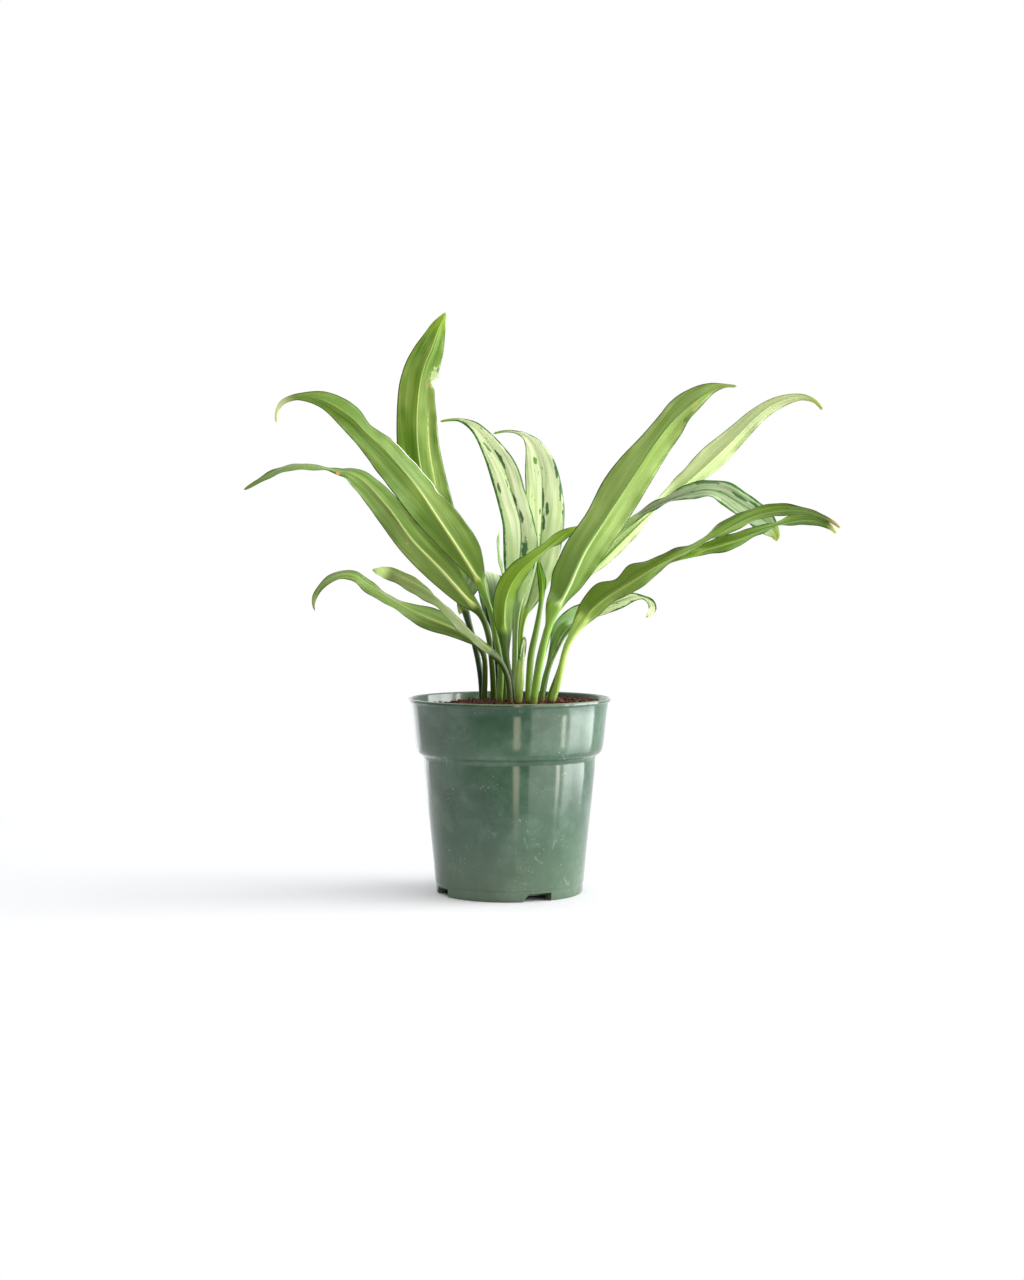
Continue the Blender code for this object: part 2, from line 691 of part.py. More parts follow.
def stations(leaf):
    """Smooth steps along the leaf: row position, place, widths, turn and fold, with the distance from the root."""
    places = [real_place(*row[:3]) for row in leaf.rows]
    knots = [0.0]
    for before, after in zip(places, places[1:]):
        knots.append(knots[-1] + (after - before).length)
    values = [[*place, *row[3:]] for place, row in zip(places, leaf.rows)]
    last = len(values) - 1
    slopes = []
    for i in range(len(values)):
        low, high = max(i - 1, 0), min(i + 1, last)
        slopes.append([(b - a) / (knots[high] - knots[low]) for a, b in zip(values[low], values[high])])
    steps = []
    for i in range(last):
        span = knots[i + 1] - knots[i]
        pieces = math.ceil(span / (BLADE_STEP if i >= leaf.blade - 2 else STALK_STEP))
        for piece in range(pieces):
            t = piece / pieces
            mixed = [
                (2 * t**3 - 3 * t**2 + 1) * a + (t**3 - 2 * t**2 + t) * span * m
                + (3 * t**2 - 2 * t**3) * b + (t**3 - t**2) * span * n
                for a, m, b, n in zip(values[i], slopes[i], values[i + 1], slopes[i + 1])
            ]
            steps.append((i + t, knots[i] + t * span, mixed))
    steps.append((float(last), knots[last], values[last]))
    return steps, knots


def rings(leaf, grown=0.0):
    """The loft's sections: round on the stalk, two thin halves with a rib between them on the blade."""
    steps, knots = stations(leaf)
    centres = [Vector(values[:3]) for _, _, values in steps]
    start, end = knots[leaf.blade - 1], knots[-1]
    height, count, phase = leaf.wave
    made = []
    for i, (position, distance, values) in enumerate(steps):
        centre = centres[i]
        left, right = max(values[3], LEAST_WIDTH), max(values[4], LEAST_WIDTH)
        turn, fold = math.radians(values[5]), math.radians(values[6])
        along = (centres[min(i + 1, len(steps) - 1)] - centres[max(i - 1, 0)]).normalized()
        side = leaf.side - along * leaf.side.dot(along) if leaf.side else Vector((0, 1, 0)).cross(along)
        side.normalize()
        across = side * math.cos(turn) + along.cross(side) * math.sin(turn)
        front = across.cross(along).normalized()
        flat = min(max(position - leaf.blade + 1.0, 0.0), 1.0)
        flat = flat * flat * (3.0 - 2.0 * flat)
        way = min(max((distance - start) / (end - start), 0.0), 1.0)
        swell = height * math.sin(math.pi * way)
        ring = []
        for facing in (1.0, -1.0):
            columns = COLUMNS if facing > 0 else COLUMNS[::-1]
            for column in columns:
                width = left if column < 0 else right
                out = across * math.cos(fold) * math.copysign(1.0, column) + front * math.sin(fold)
                ripple = swell * column**2 * math.sin(math.tau * count * way + phase + WAVE_LAG * column)
                rib = RIB * (1.0 - way) if column == 0.0 and (facing < 0) == leaf.upper_in_front else 0.0
                blade = centre + out * width * abs(column) + front * (ripple + facing * (HALF_BLADE + rib))
                angle = math.pi / 2 - column * ROUND_STEP
                radius = (left + right) / 2 + grown
                stalk = centre + (across * math.cos(angle) + front * math.sin(angle) * facing) * radius
                ring.append(stalk.lerp(blade, flat) * MM)
        made.append(ring)
    return made


def loft(name, sections):
    """A closed skin over the sections, with its front and back split along the same diagonals."""
    shape = bmesh.new()
    skins = [[shape.verts.new(place) for place in section] for section in sections]
    around = len(skins[0])
    for near, far in zip(skins, skins[1:]):
        for k in range(around):
            a, b, c, d = near[k], near[(k + 1) % around], far[(k + 1) % around], far[k]
            if k < around // 2:
                shape.faces.new((a, b, c))
                shape.faces.new((a, c, d))
            else:
                shape.faces.new((a, b, d))
                shape.faces.new((b, c, d))
    shape.faces.new(skins[0])
    shape.faces.new(skins[-1][::-1])
    bmesh.ops.recalc_face_normals(shape, faces=shape.faces)
    return finish_mesh(shape, name)


def stalk_hole(leaf):
    """The foot of the leaf's own loft, a little wider and longer, which leaves a plain hole."""
    sections = rings(leaf, grown=CLEARANCE + 0.1)
    foot = [section for section in sections if max(place.z for place in section) < HOLE_TOP * MM]
    foot[0] = [place - Vector((0, 0, HOLE_DEEPER * MM)) for place in foot[0]]
    return loft(f"{leaf.name}_hole", foot)


def make_leaf(leaf, parts):
    mesh = loft(leaf.name, rings(leaf))
    mesh.shade_smooth()
    add_object(leaf.name, mesh, parts, material(leaf.name, leaf.colour, 0.45))


def main():
    for old in list(bpy.data.objects):
        bpy.data.objects.remove(old, do_unlink=True)
    parts = new_collection(NAME)
    make_pot(parts)
    make_soil(parts)
    for leaf in LEAVES:
        make_leaf(leaf, parts)


main()
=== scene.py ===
import math
import random

import bmesh
import bpy
from mathutils import Matrix, Vector, noise


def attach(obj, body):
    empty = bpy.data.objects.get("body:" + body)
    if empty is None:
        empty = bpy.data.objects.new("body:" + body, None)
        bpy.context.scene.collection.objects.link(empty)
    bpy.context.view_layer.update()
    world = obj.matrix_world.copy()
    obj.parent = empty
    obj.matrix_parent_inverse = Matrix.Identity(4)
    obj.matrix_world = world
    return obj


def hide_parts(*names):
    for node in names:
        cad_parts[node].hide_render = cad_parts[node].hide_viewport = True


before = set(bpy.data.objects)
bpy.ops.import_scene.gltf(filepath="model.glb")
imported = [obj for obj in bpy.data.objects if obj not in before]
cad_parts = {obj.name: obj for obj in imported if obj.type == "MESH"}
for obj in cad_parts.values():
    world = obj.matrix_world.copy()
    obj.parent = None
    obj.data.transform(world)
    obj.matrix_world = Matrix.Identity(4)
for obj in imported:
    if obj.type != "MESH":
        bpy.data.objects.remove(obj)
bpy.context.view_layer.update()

MM = 0.001

# Camera: focal length in pixels of the 1280 pixel high image, place in metres, and how far it looks down
IMAGE_HEIGHT = 1280
FOCAL_PIXELS = 2200
SENSOR = 36.0
EYE = (0.0014, -1.25, 0.197)
LOOKS_DOWN = 94

# Lights: name, direction in degrees to the right of the camera's side, distance and height of the middle,
# width and height of the rectangle, all in metres, brightness and tint. The pot's wall mirrors them.
LIGHTS = [
    ("window", 60.0, 1.8, 0.15, (2.4, 2.5), 2.3, (1.0, 0.985, 0.95)),
    ("right_wall", 98.0, 1.7, 0.05, (1.3, 2.4), 7.0, (0.98, 1.0, 1.0)),
    ("door", 9.0, 1.9, 0.05, (0.26, 1.4), 4.2, (1.0, 0.84, 0.64)),
    ("far_window", 68.0, 1.75, 0.2, (0.16, 1.4), 9.0, (1.0, 0.95, 0.87)),
    ("left_wall", -152.0, 1.8, 0.2, (0.9, 1.6), 1.0, (0.95, 0.98, 1.0)),
    ("ceiling", -12.0, 1.4, 1.4, (1.2, 0.9), 1.9, (1.0, 0.99, 0.96)),
]
AIM_HEIGHT = 0.15

# The light of the world comes mostly from this direction
WORLD_AIM = (0.1, 0.8, 0.6)
WORLD_DIM = (0.12, 0.12, 0.12, 1.0)
WORLD_BRIGHT = (1.0, 1.01, 1.03, 1.0)

# Floor, in metres: how far left and back of the pot its middle lies, its depth as a share of its width,
# and where it fades
FLOOR_LEFT = 0.15
FLOOR_BACK = 0.05
FLOOR_NARROW = 0.55
FLOOR_FADE = (0.17, 0.4)

# The leaves' points are set out in the front view, seen from this far in front of the axis and this high
SIGHT_DISTANCE = 1250.0
SIGHT_HEIGHT = 197.0

# Pot: radius and height of each point of its profile, with the rounding of that corner
POT_INNER = [
    (0.0, 3.8, 0), (33.5, 3.8, 0), (39.6, 3.8, 0), (40.2, 4.6, 0), (40.7, 5.4, 0), (42.7, 24.0, 0),
    (45.0, 47.0, 0), (47.3, 70.0, 0), (48.0, 78.6, 0.8), (50.8, 81.0, 0.8), (52.4, 87.0, 0),
    (54.1, 103.0, 0), (55.3, 110.3, 0.3), (56.4, 111.0, 0.3),
]
POT_OUTER = [
    (57.5, 110.6, 0.35), (57.5, 109.2, 0.35), (56.3, 108.5, 0.3), (55.4, 103.0, 0), (53.7, 87.0, 0),
    (52.9, 81.9, 0.9), (51.9, 80.0, 0.6), (49.5, 78.4, 0.6), (48.75, 76.6, 0.6), (48.6, 70.0, 0),
    (46.3, 47.0, 0), (44.0, 24.0, 0), (42.3, 6.4, 0.2), (41.85, 5.8, 0.15), (41.8, 4.6, 0),
    (41.7, 1.0, 0.3), (41.0, 0.0, 0.2), (36.4, 0.0, 0.3), (35.6, 2.2, 0.3), (33.5, 2.2, 0),
    (11.0, 2.2, 0.2), (10.2, 0.0, 0.2), (0.0, 0.0, 0),
]
POT_STEPS = 180

# Drainage notches: their middles' directions, half their width as an angle, height, how far in they reach,
# the slant of one side, and how far round the foot follows that slant
NOTCH_DIRECTIONS = (-158.0, -68.0, 22.0, 112.0)
NOTCH_HALF = 12.0
NOTCH_TOP = 4.6
NOTCH_INSIDE = 33.5
NOTCH_SLANT = 5.4
NOTCH_FADE = 12.0

# Soil: edge, level, mound and tilt of its top, as in the part, its fineness, and its crumbs and fibres
SOIL_EDGE = 53.7
SOIL_LEVEL = 106.6
SOIL_MOUND = 1.9
SOIL_TILT = 1.9
SOIL_CRUMB = 0.45
SOIL_RINGS = 90
SOIL_STEPS = 220
SOIL_SKIRT = 4.0
SOIL_LUMPS = 0.75
SOIL_LOWER = 0.35
SOIL_MARGIN = 0.8
CRUMBS = 1500
FIBRES = 420
FIBRE_STEPS = 7
FIBRE_LIFT = 0.25
FIBRE_MARGIN = 2.0
SEED = 11

# Leaves: fineness, thickness, midrib below and groove above, fold, waves, pleats and the stalk's channel
HALF_COLUMNS = 15
BLADE_STEP = 1.5
STALK_STEP = 2.4
HALF_BLADE = 0.22
RIB = 0.62
RIB_REACH = 0.75
RIB_TAPER = 0.6
RIB_WIDTH = 4.0
GROOVE = 0.3
SOFT_FOLD = 1.1
WAVE_LAG = 1.3
LEAST_WIDTH = 0.3
FRILL = 0.28
FRILL_LENGTH = 13.0
FRILL_RISE = 6.0
FRILL_LAG = 2.0
ARCH = 0.05
PLEAT = 0.017
PLEATS = 1.4
PLEAT_DRIFT = 6.0
PLEAT_SHIFT = 2.0
VEIN_DRIFT = 0.7
CHANNEL = 0.42
CHANNEL_HALF = 0.45
CHANNEL_START = 60.0
ROOT_END = 98.0
PLAIN_ROW = 4

# Leaf colours as the photograph's daylight shows them, and the sheen and strength of that daylight
SHEEN = 0.03
DAYLIGHT = 0.84
OLIVE = (110, 146, 62)
LIME_RIB = (196, 214, 118)
TAN = (196, 170, 110)
EDGE = (54, 68, 34)
DARK = (46, 96, 36)
CREAM = (222, 231, 194)
CREAM_DEEP = (206, 220, 172)
CREAM_LINE = (172, 198, 128)
FLECK = (82, 136, 52)
FLECK_DEEP = (44, 92, 34)
# RIM_HIGHLIGHT is the colour of a painted highlight along a leaf's right margin
RIM_HIGHLIGHT = (238, 244, 226)
EARTH = (92, 66, 44)


class Value:
    """A socket's value, so that the arithmetic of a material reads as an expression."""

    def __init__(self, nodes, socket):
        self.nodes = nodes
        self.socket = socket

    def __add__(self, other):
        return self.nodes.maths("ADD", self, other)

    __radd__ = __add__

    def __sub__(self, other):
        return self.nodes.maths("SUBTRACT", self, other)

    def __rsub__(self, other):
        return self.nodes.maths("SUBTRACT", other, self)

    def __mul__(self, other):
        return self.nodes.maths("MULTIPLY", self, other)

    __rmul__ = __mul__

    def __truediv__(self, other):
        return self.nodes.maths("DIVIDE", self, other)

    def __abs__(self):
        return self.nodes.maths("ABSOLUTE", self)

    def most(self, other):
        return self.nodes.maths("MAXIMUM", self, other)

    def rises(self, low, high):
        """0 below low, 1 above high and smooth between them."""
        settings = {"interpolation_type": "SMOOTHSTEP"}
        values = {"Value": self, "From Min": low, "From Max": high}
        return self.nodes.add("ShaderNodeMapRange", settings, values)

    def falls(self, low, high):
        return 1.0 - self.rises(low, high)


class Nodes:
    """The node tree of a material or of the world, with its one way to add a node."""

    def __init__(self, owner, output="ShaderNodeOutputMaterial"):
        owner.use_nodes = True
        self.owner = owner
        self.tree = owner.node_tree
        self.output = output
        self.tree.nodes.clear()

    def add(self, kind, settings=None, values=None, output=0):
        node = self.tree.nodes.new(kind)
        for name, setting in (settings or {}).items():
            setattr(node, name, setting)
        for key, value in (values or {}).items():
            if isinstance(value, Value):
                self.tree.links.new(value.socket, node.inputs[key])
            else:
                node.inputs[key].default_value = value
        return Value(self, node.outputs[output])

    def maths(self, operation, first, second=0.0):
        return self.add("ShaderNodeMath", {"operation": operation}, {0: first, 1: second})

    def mix(self, share, first, second):
        """From the first colour to the second."""
        values = {0: share, 6: first, 7: second}
        return self.add("ShaderNodeMix", {"data_type": "RGBA"}, values, output=2)

    def vector(self, x, y, z=0.0):
        return self.add("ShaderNodeCombineXYZ", {}, {0: x, 1: y, 2: z})

    def parts(self, vector):
        node = self.add("ShaderNodeSeparateXYZ", {}, {0: vector}).socket.node
        return [Value(self, node.outputs[axis]) for axis in range(3)]

    def attribute(self, name):
        return self.add("ShaderNodeAttribute", {"attribute_name": name}, {}, output=1)

    def place(self):
        return self.add("ShaderNodeTexCoord", {}, {}, output=3)

    def toward(self, vector, aim):
        """How far a vector points the same way as aim."""
        settings = {"operation": "DOT_PRODUCT"}
        return self.add("ShaderNodeVectorMath", settings, {0: vector, 1: aim}, output=1)

    def noise(self, where, scale=1.0, detail=2.0, roughness=0.5, bend=0.0):
        values = {"Vector": where, "Scale": scale, "Detail": detail}
        values.update({"Roughness": roughness, "Distortion": bend})
        return self.add("ShaderNodeTexNoise", {}, values)

    def cells(self, where, scale, output=0):
        """How far the nearest of many scattered points is, or with output 1 a colour for each of them."""
        return self.add("ShaderNodeTexVoronoi", {}, {"Vector": where, "Scale": scale}, output)

    def bump(self, height, distance, strength=1.0):
        values = {"Height": height, "Distance": distance, "Strength": strength}
        return self.add("ShaderNodeBump", {}, values)

    def surface(self, **values):
        """The finished surface. A word's underscores stand for the spaces of the socket's name."""
        named = {word.replace("_", " "): value for word, value in values.items()}
        return self.finish(self.add("ShaderNodeBsdfPrincipled", {}, named))

    def finish(self, shader):
        node = self.tree.nodes.new(self.output)
        self.tree.links.new(shader.socket, node.inputs["Surface"])
        return self.owner


def colour(red, green, blue):
    """A colour as a screen shows it, 0 to 255, as the light it stands for."""
    shares = [part / 255.0 for part in (red, green, blue)]
    return (*[s / 12.92 if s < 0.04045 else ((s + 0.055) / 1.055) ** 2.4 for s in shares], 1.0)


def leaf_colour(red, green, blue):
    """A leaf's own colour, from the one it shows in daylight, which has the sheen of the sky on it."""
    shown = colour(red, green, blue)[:3]
    return (*[max((part - SHEEN) / DAYLIGHT, 0.003) for part in shown], 1.0)


def link(name, mesh, material):
    made = bpy.data.objects.new(name, mesh)
    bpy.context.scene.collection.objects.link(made)
    mesh.materials.append(material)
    return made


def finish_shape(shape, name, material, turned_out=True):
    if turned_out:
        bmesh.ops.recalc_face_normals(shape, faces=shape.faces)
    mesh = bpy.data.meshes.new(name)
    shape.to_mesh(mesh)
    shape.free()
    mesh.shade_smooth()
    return link(name, mesh, material)


def join_frame(piece, slot, *nodes):
    """The piece rides on the one body, and stands for these nodes."""
    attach(piece, "root")
    if nodes:
        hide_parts(*nodes)


def skin(shape, around, steps, place):
    """A grid rolled into a closed skin. place moves a vertex, given how far round and along it stands."""
    verts = bmesh.ops.create_grid(shape, x_segments=around, y_segments=steps, size=1.0)["verts"]
    for vert in verts:
        place(vert, round((vert.co.x + 1.0) / 2.0 * around), round((vert.co.y + 1.0) / 2.0 * steps))
    bmesh.ops.remove_doubles(shape, verts=verts, dist=0.000001)


# Pot


def plastic():
    """Glossy green moulded plastic under a thin film of dust, with specks and smears, a painted highlight
    on the top of the lip and a painted reflection of the floor low on the wall.
    """
    nodes = Nodes(bpy.data.materials.new("pot_plastic"))
    place = nodes.place()
    x, y, z = nodes.parts(place)
    round_it = nodes.maths("ARCTAN2", y, x)
    cloud = nodes.noise(place, scale=24.0, detail=4.0, roughness=0.6)
    body = nodes.mix(cloud.rises(0.3, 0.7), colour(46, 74, 56), colour(63, 93, 73))
    film = nodes.noise(place, scale=75.0, detail=5.0, roughness=0.65)
    body = nodes.mix(film.rises(0.42, 0.72) * 0.12, body, colour(150, 172, 154))
    # Painted reflection of the pale floor: the wall is paler and greyer towards the bottom
    low = z.falls(0.003, 0.04)
    body = nodes.mix(low * 0.2, body, colour(134, 148, 122))
    specks = nodes.cells(place, 520.0).falls(0.06, 0.16)
    thinned = nodes.noise(place, scale=60.0, detail=2.0).rises(0.54, 0.66)
    dust = specks * thinned
    body = nodes.mix(dust * 0.7, body, colour(204, 214, 194))
    smear = nodes.noise(nodes.vector(round_it * 9.0, z * 130.0), detail=4.0, bend=1.2)
    smear = smear.rises(0.62, 0.70) * nodes.noise(place, scale=38.0).rises(0.5, 0.62)
    body = nodes.mix(smear * 0.28, body, colour(160, 178, 160))
    # Painted highlight: the top of the lip is paler all round
    lip_highlight = z.rises(0.1102, 0.111)
    body = nodes.mix(lip_highlight * 0.6, body, colour(150, 156, 126))
    ripple = nodes.noise(place, scale=26.0, detail=1.0) + film * 0.03 + dust * 0.03
    return nodes.surface(
        Base_Color=body,
        Roughness=0.08 + film * 0.08 + smear * 0.14 + dust * 0.3,
        Specular_IOR_Level=0.6,
        Normal=nodes.bump(ripple, 0.0008, 0.2),
    )


def turn_round(shape, steps):
    """Turns the one line in the shape about the upright axis."""
    bmesh.ops.spin(
        shape,
        geom=shape.verts[:] + shape.edges[:],
        cent=(0, 0, 0),
        axis=(0, 0, 1),
        angle=math.tau,
        steps=steps,
        use_merge=True,
    )
    bmesh.ops.remove_doubles(shape, verts=shape.verts, dist=0.00001)


def lathe(profile, steps):
    """The profile, its corners rounded, turned about the upright axis."""
    shape = bmesh.new()
    line = [shape.verts.new((radius * MM, 0.0, height * MM)) for radius, height, _ in profile]
    for pair in zip(line, line[1:]):
        shape.edges.new(pair)
    for rounding in sorted({row[2] for row in profile if row[2]}):
        corners = [vert for vert, row in zip(line, profile) if row[2] == rounding]
        bmesh.ops.bevel(
            shape,
            geom=corners,
            offset=rounding * MM,
            offset_type="OFFSET",
            affect="VERTICES",
            segments=3,
            profile=0.5,
            material=-1,
        )
    turn_round(shape, steps)
    return shape


def from_notch(point, direction):
    """How many degrees round the axis a point lies from the middle of a notch."""
    turned = math.degrees(math.atan2(point.y, point.x)) - direction
    return (turned + 180.0) % 360.0 - 180.0


def cut_notch(shape, direction):
    """Opens one drainage notch through the foot and the edge of the floor, with one slanted side."""
    top, inner = NOTCH_TOP * MM + 1e-6, NOTCH_INSIDE * MM - 1e-6
    foot = [vert for vert in shape.verts if vert.co.z < top and vert.co.xy.length > inner]
    gone = []
    for face in shape.faces:
        middle = face.calc_center_median()
        inside = NOTCH_INSIDE * MM < middle.xy.length and middle.z < NOTCH_TOP * MM
        if inside and abs(from_notch(middle, direction)) < NOTCH_HALF:
            gone.append(face)
    bmesh.ops.delete(shape, geom=gone, context="FACES")
    for vert in foot:
        if not vert.is_valid:
            continue
        past = abs(from_notch(vert.co, direction) + NOTCH_HALF)
        if past < NOTCH_FADE:
            angle = NOTCH_SLANT * vert.co.z / (NOTCH_TOP * MM) * (1.0 - past / NOTCH_FADE)
            vert.co = Matrix.Rotation(math.radians(angle), 3, "Z") @ vert.co
    rim = [edge for edge in shape.edges if edge.is_boundary]
    bmesh.ops.bridge_loops(shape, edges=rim)


def make_pot():
    shape = lathe(POT_INNER + POT_OUTER, POT_STEPS)
    for direction in NOTCH_DIRECTIONS:
        cut_notch(shape, direction)
    pot = finish_shape(shape, "pot_shell", plastic())
    pot.data.set_sharp_from_angle(angle=math.radians(50.0))
    join_frame(pot, "pot_plastic", "pot")


# Soil


def coir():
    """Damp reddish coir, crumb by crumb darker and lighter."""
    nodes = Nodes(bpy.data.materials.new("coir"))
    place = nodes.place()
    grain = nodes.noise(place, scale=900.0, detail=4.0, roughness=0.65)
    crumb = nodes.cells(place, 420.0, output=1)
    tone = nodes.parts(crumb)[0]
    body = nodes.mix(tone.rises(0.1, 0.9), colour(62, 34, 25), colour(120, 74, 55))
    body = nodes.mix(grain.rises(0.35, 0.7) * 0.6, body, colour(38, 21, 16))
    pale = nodes.parts(nodes.cells(place, 300.0, output=1))[1].rises(0.86, 0.95)
    body = nodes.mix(pale * 0.5, body, colour(158, 112, 84))
    height = grain + nodes.noise(place, scale=260.0, detail=3.0) * 2.0
    return nodes.surface(
        Base_Color=body,
        Roughness=0.82 + grain * 0.15,
        Specular_IOR_Level=0.3,
        Normal=nodes.bump(height, 0.0009, 0.9),
    )


def soil_height(x, y):
    """The mounded, lightly crumbled top of the soil, which rises to the right."""
    reach = math.hypot(x, y) / SOIL_EDGE
    crumb = math.sin(0.31 * x + 1.1) * math.cos(0.27 * y) + 0.6 * math.sin(0.53 * y + 0.47 * x)
    mound = SOIL_MOUND * (1.0 - reach * reach)
    return SOIL_LEVEL + mound + SOIL_TILT * x / SOIL_EDGE + SOIL_CRUMB * crumb


def fine_soil_height(x, y):
    """The same top with fine lumps, set a little lower."""
    lumps = noise.fractal(Vector((x * 0.55, y * 0.55, 3.1)), 0.9, 2.1, 4) * SOIL_LUMPS
    return soil_height(x, y) + lumps - SOIL_LOWER


def make_soil(material):
    """The top of the soil, with a skirt down inside the pot and a plain underside."""
    shape = bmesh.new()
    places = [(SOIL_EDGE * ring / SOIL_RINGS * MM, 0.0, 0.0) for ring in range(SOIL_RINGS + 1)]
    places += [(SOIL_EDGE * MM, 0.0, -SOIL_SKIRT * MM), (0.0, 0.0, -SOIL_SKIRT * MM)]
    line = [shape.verts.new(place) for place in places]
    for pair in zip(line, line[1:]):
        shape.edges.new(pair)
    turn_round(shape, SOIL_STEPS)
    for vert in shape.verts:
        sunk = vert.co.z < -0.0001
        top = fine_soil_height(vert.co.x / MM, vert.co.y / MM)
        vert.co.z = (SOIL_LEVEL - SOIL_SKIRT if sunk else top) * MM
    soil = finish_shape(shape, "soil_top", material)
    join_frame(soil, "coir_soil", "soil")


def stalk_feet():
    """Where each stalk enters the soil, and its radius."""
    feet = []
    for leaf in LEAVES:
        centre = real_place(*leaf.rows[1][:3])
        feet.append((centre.x, centre.y, leaf.rows[1][3]))
    return feet


def free_place(draw, feet, spare):
    """A random place on the soil that no stalk takes."""
    while True:
        reach = (SOIL_EDGE - SOIL_MARGIN - spare) * math.sqrt(draw.random())
        turned = draw.uniform(0.0, math.tau)
        x, y = reach * math.cos(turned), reach * math.sin(turned)
        if all(math.hypot(x - fx, y - fy) > radius + spare for fx, fy, radius in feet):
            return x, y


def make_crumbs(material):
    """Small broken lumps on the soil."""
    draw = random.Random(SEED)
    feet = stalk_feet()
    shape = bmesh.new()
    for _ in range(CRUMBS):
        size = 0.35 + 0.95 * draw.random() ** 2.5
        x, y = free_place(draw, feet, size)
        centre = Vector((x, y, fine_soil_height(x, y) + 0.2 * size))
        spun = Matrix.Rotation(draw.uniform(0, math.tau), 3, Vector([draw.gauss(0, 1) for _ in range(3)]))
        stretch = Vector((draw.uniform(0.6, 1.5), draw.uniform(0.6, 1.1), draw.uniform(0.5, 0.9)))
        fineness = 2 if size > 0.7 else 1
        for vert in bmesh.ops.create_icosphere(shape, subdivisions=fineness, radius=1.0)["verts"]:
            rough = 1.0 + 0.45 * noise.noise(vert.co * 1.7 + centre)
            vert.co = (centre + spun @ (vert.co * stretch) * rough * size) * MM
    crumbs = finish_shape(shape, "soil_crumbs", material)
    join_frame(crumbs, "coir_soil")


def add_fibre(shape, points, radius):
    """One fibre of four sides along the points."""
    last = len(points) - 1

    def place(vert, turn, step):
        ahead = points[min(step + 1, last)] - points[max(step - 1, 0)]
        side = ahead.cross(Vector((0, 0, 1))).normalized()
        over = side.cross(ahead).normalized()
        angle = math.tau * turn / 4
        wide = 0.0 if step in (0, last) else radius
        vert.co = (points[step] + (side * math.cos(angle) + over * math.sin(angle)) * wide) * MM

    skin(shape, 4, last, place)


def make_fibres(material):
    """Short bent coir fibres that lie on the soil, with both ends closed."""
    draw = random.Random(SEED + 1)
    feet = stalk_feet()
    shape = bmesh.new()
    for _ in range(FIBRES):
        x, y = free_place(draw, feet, 1.8)
        heading = draw.uniform(0.0, math.tau)
        bend = draw.gauss(0.0, 0.22)
        length = draw.uniform(2.0, 6.5)
        lift = draw.uniform(0.3, 1.4)
        radius = draw.uniform(0.05, 0.13)
        points = []
        for step in range(FIBRE_STEPS + 1):
            arch = lift * math.sin(math.pi * step / FIBRE_STEPS)
            points.append(Vector((x, y, fine_soil_height(x, y) + FIBRE_LIFT + arch)))
            x += length / FIBRE_STEPS * math.cos(heading)
            y += length / FIBRE_STEPS * math.sin(heading)
            heading += bend
        if math.hypot(x, y) <= SOIL_EDGE - FIBRE_MARGIN:
            add_fibre(shape, points, radius)
    fibres = finish_shape(shape, "soil_fibres", material)
    join_frame(fibres, "coir_soil")


# Leaves


class Look:
    """A leaf's colours, the widths of its dark bands on the left and right, and its flecks, rim and spots.

    The tip's colour starts at tip_from, and the rim is the start and end of a painted highlight along the
    right margin, all as shares of the blade's length.
    A spot is how far along the leaf it lies and how far to the right of the midrib, half its length and
    half its width in millimetres, its colour and how strong it is.
    """

    def __init__(
        self, green, deep, rib, rib_tip, tip, stalk, edge=EDGE, foot=None,
        silver=(CREAM, CREAM_DEEP, CREAM_LINE), tip_from=0.9, bands=(1.3, 0.7), flecks=0.5,
        spots=(), rim=None,
    ):
        self.green, self.deep = leaf_colour(*green), leaf_colour(*deep)
        self.rib, self.rib_tip = leaf_colour(*rib), leaf_colour(*rib_tip)
        self.tip, self.stalk = leaf_colour(*tip), leaf_colour(*stalk)
        self.edge, self.foot = leaf_colour(*edge), leaf_colour(*(foot or green))
        self.silver, self.silver_deep, self.silver_line = [leaf_colour(*tint) for tint in silver]
        self.tip_from = tip_from
        self.bands = bands
        self.flecks = flecks
        self.spots = spots
        self.rim = rim


class Leaf:
    """A leaf, from its stalk's end in the soil to its tip.

    Each row holds x, depth and height in the front view, the half width on the left and on the right of the
    midrib as seen with the tip up, the turn of the blade about its midrib, which takes the right half away
    from the viewer, and the fold of its two halves towards the viewer, in millimetres and degrees. A row of
    four has one half width, no turn and no fold. One more row, under the first, ends the stalk in the soil.
    Counted with it, the blade is flat from the row named by blade. A wave is its height at the margin, its
    number along the blade and its phase. A bite in the right margin is how far along the blade it is, its
    length, both as shares of the blade's, and its depth. Side is the way across a blade that faces up.
    """

    def __init__(self, name, slot, blade, upper_in_front, wave, look, rows, side=None, bites=()):
        self.name = name
        self.slot = slot
        self.blade = blade
        self.upper_in_front = upper_in_front
        self.wave = wave
        self.look = look
        full = [(*row, row[3], 0, 0) if len(row) == PLAIN_ROW else row for row in rows]
        self.rows = [(*full[0][:2], ROOT_END, *full[0][3:]), *full]
        self.side = side
        self.bites = bites
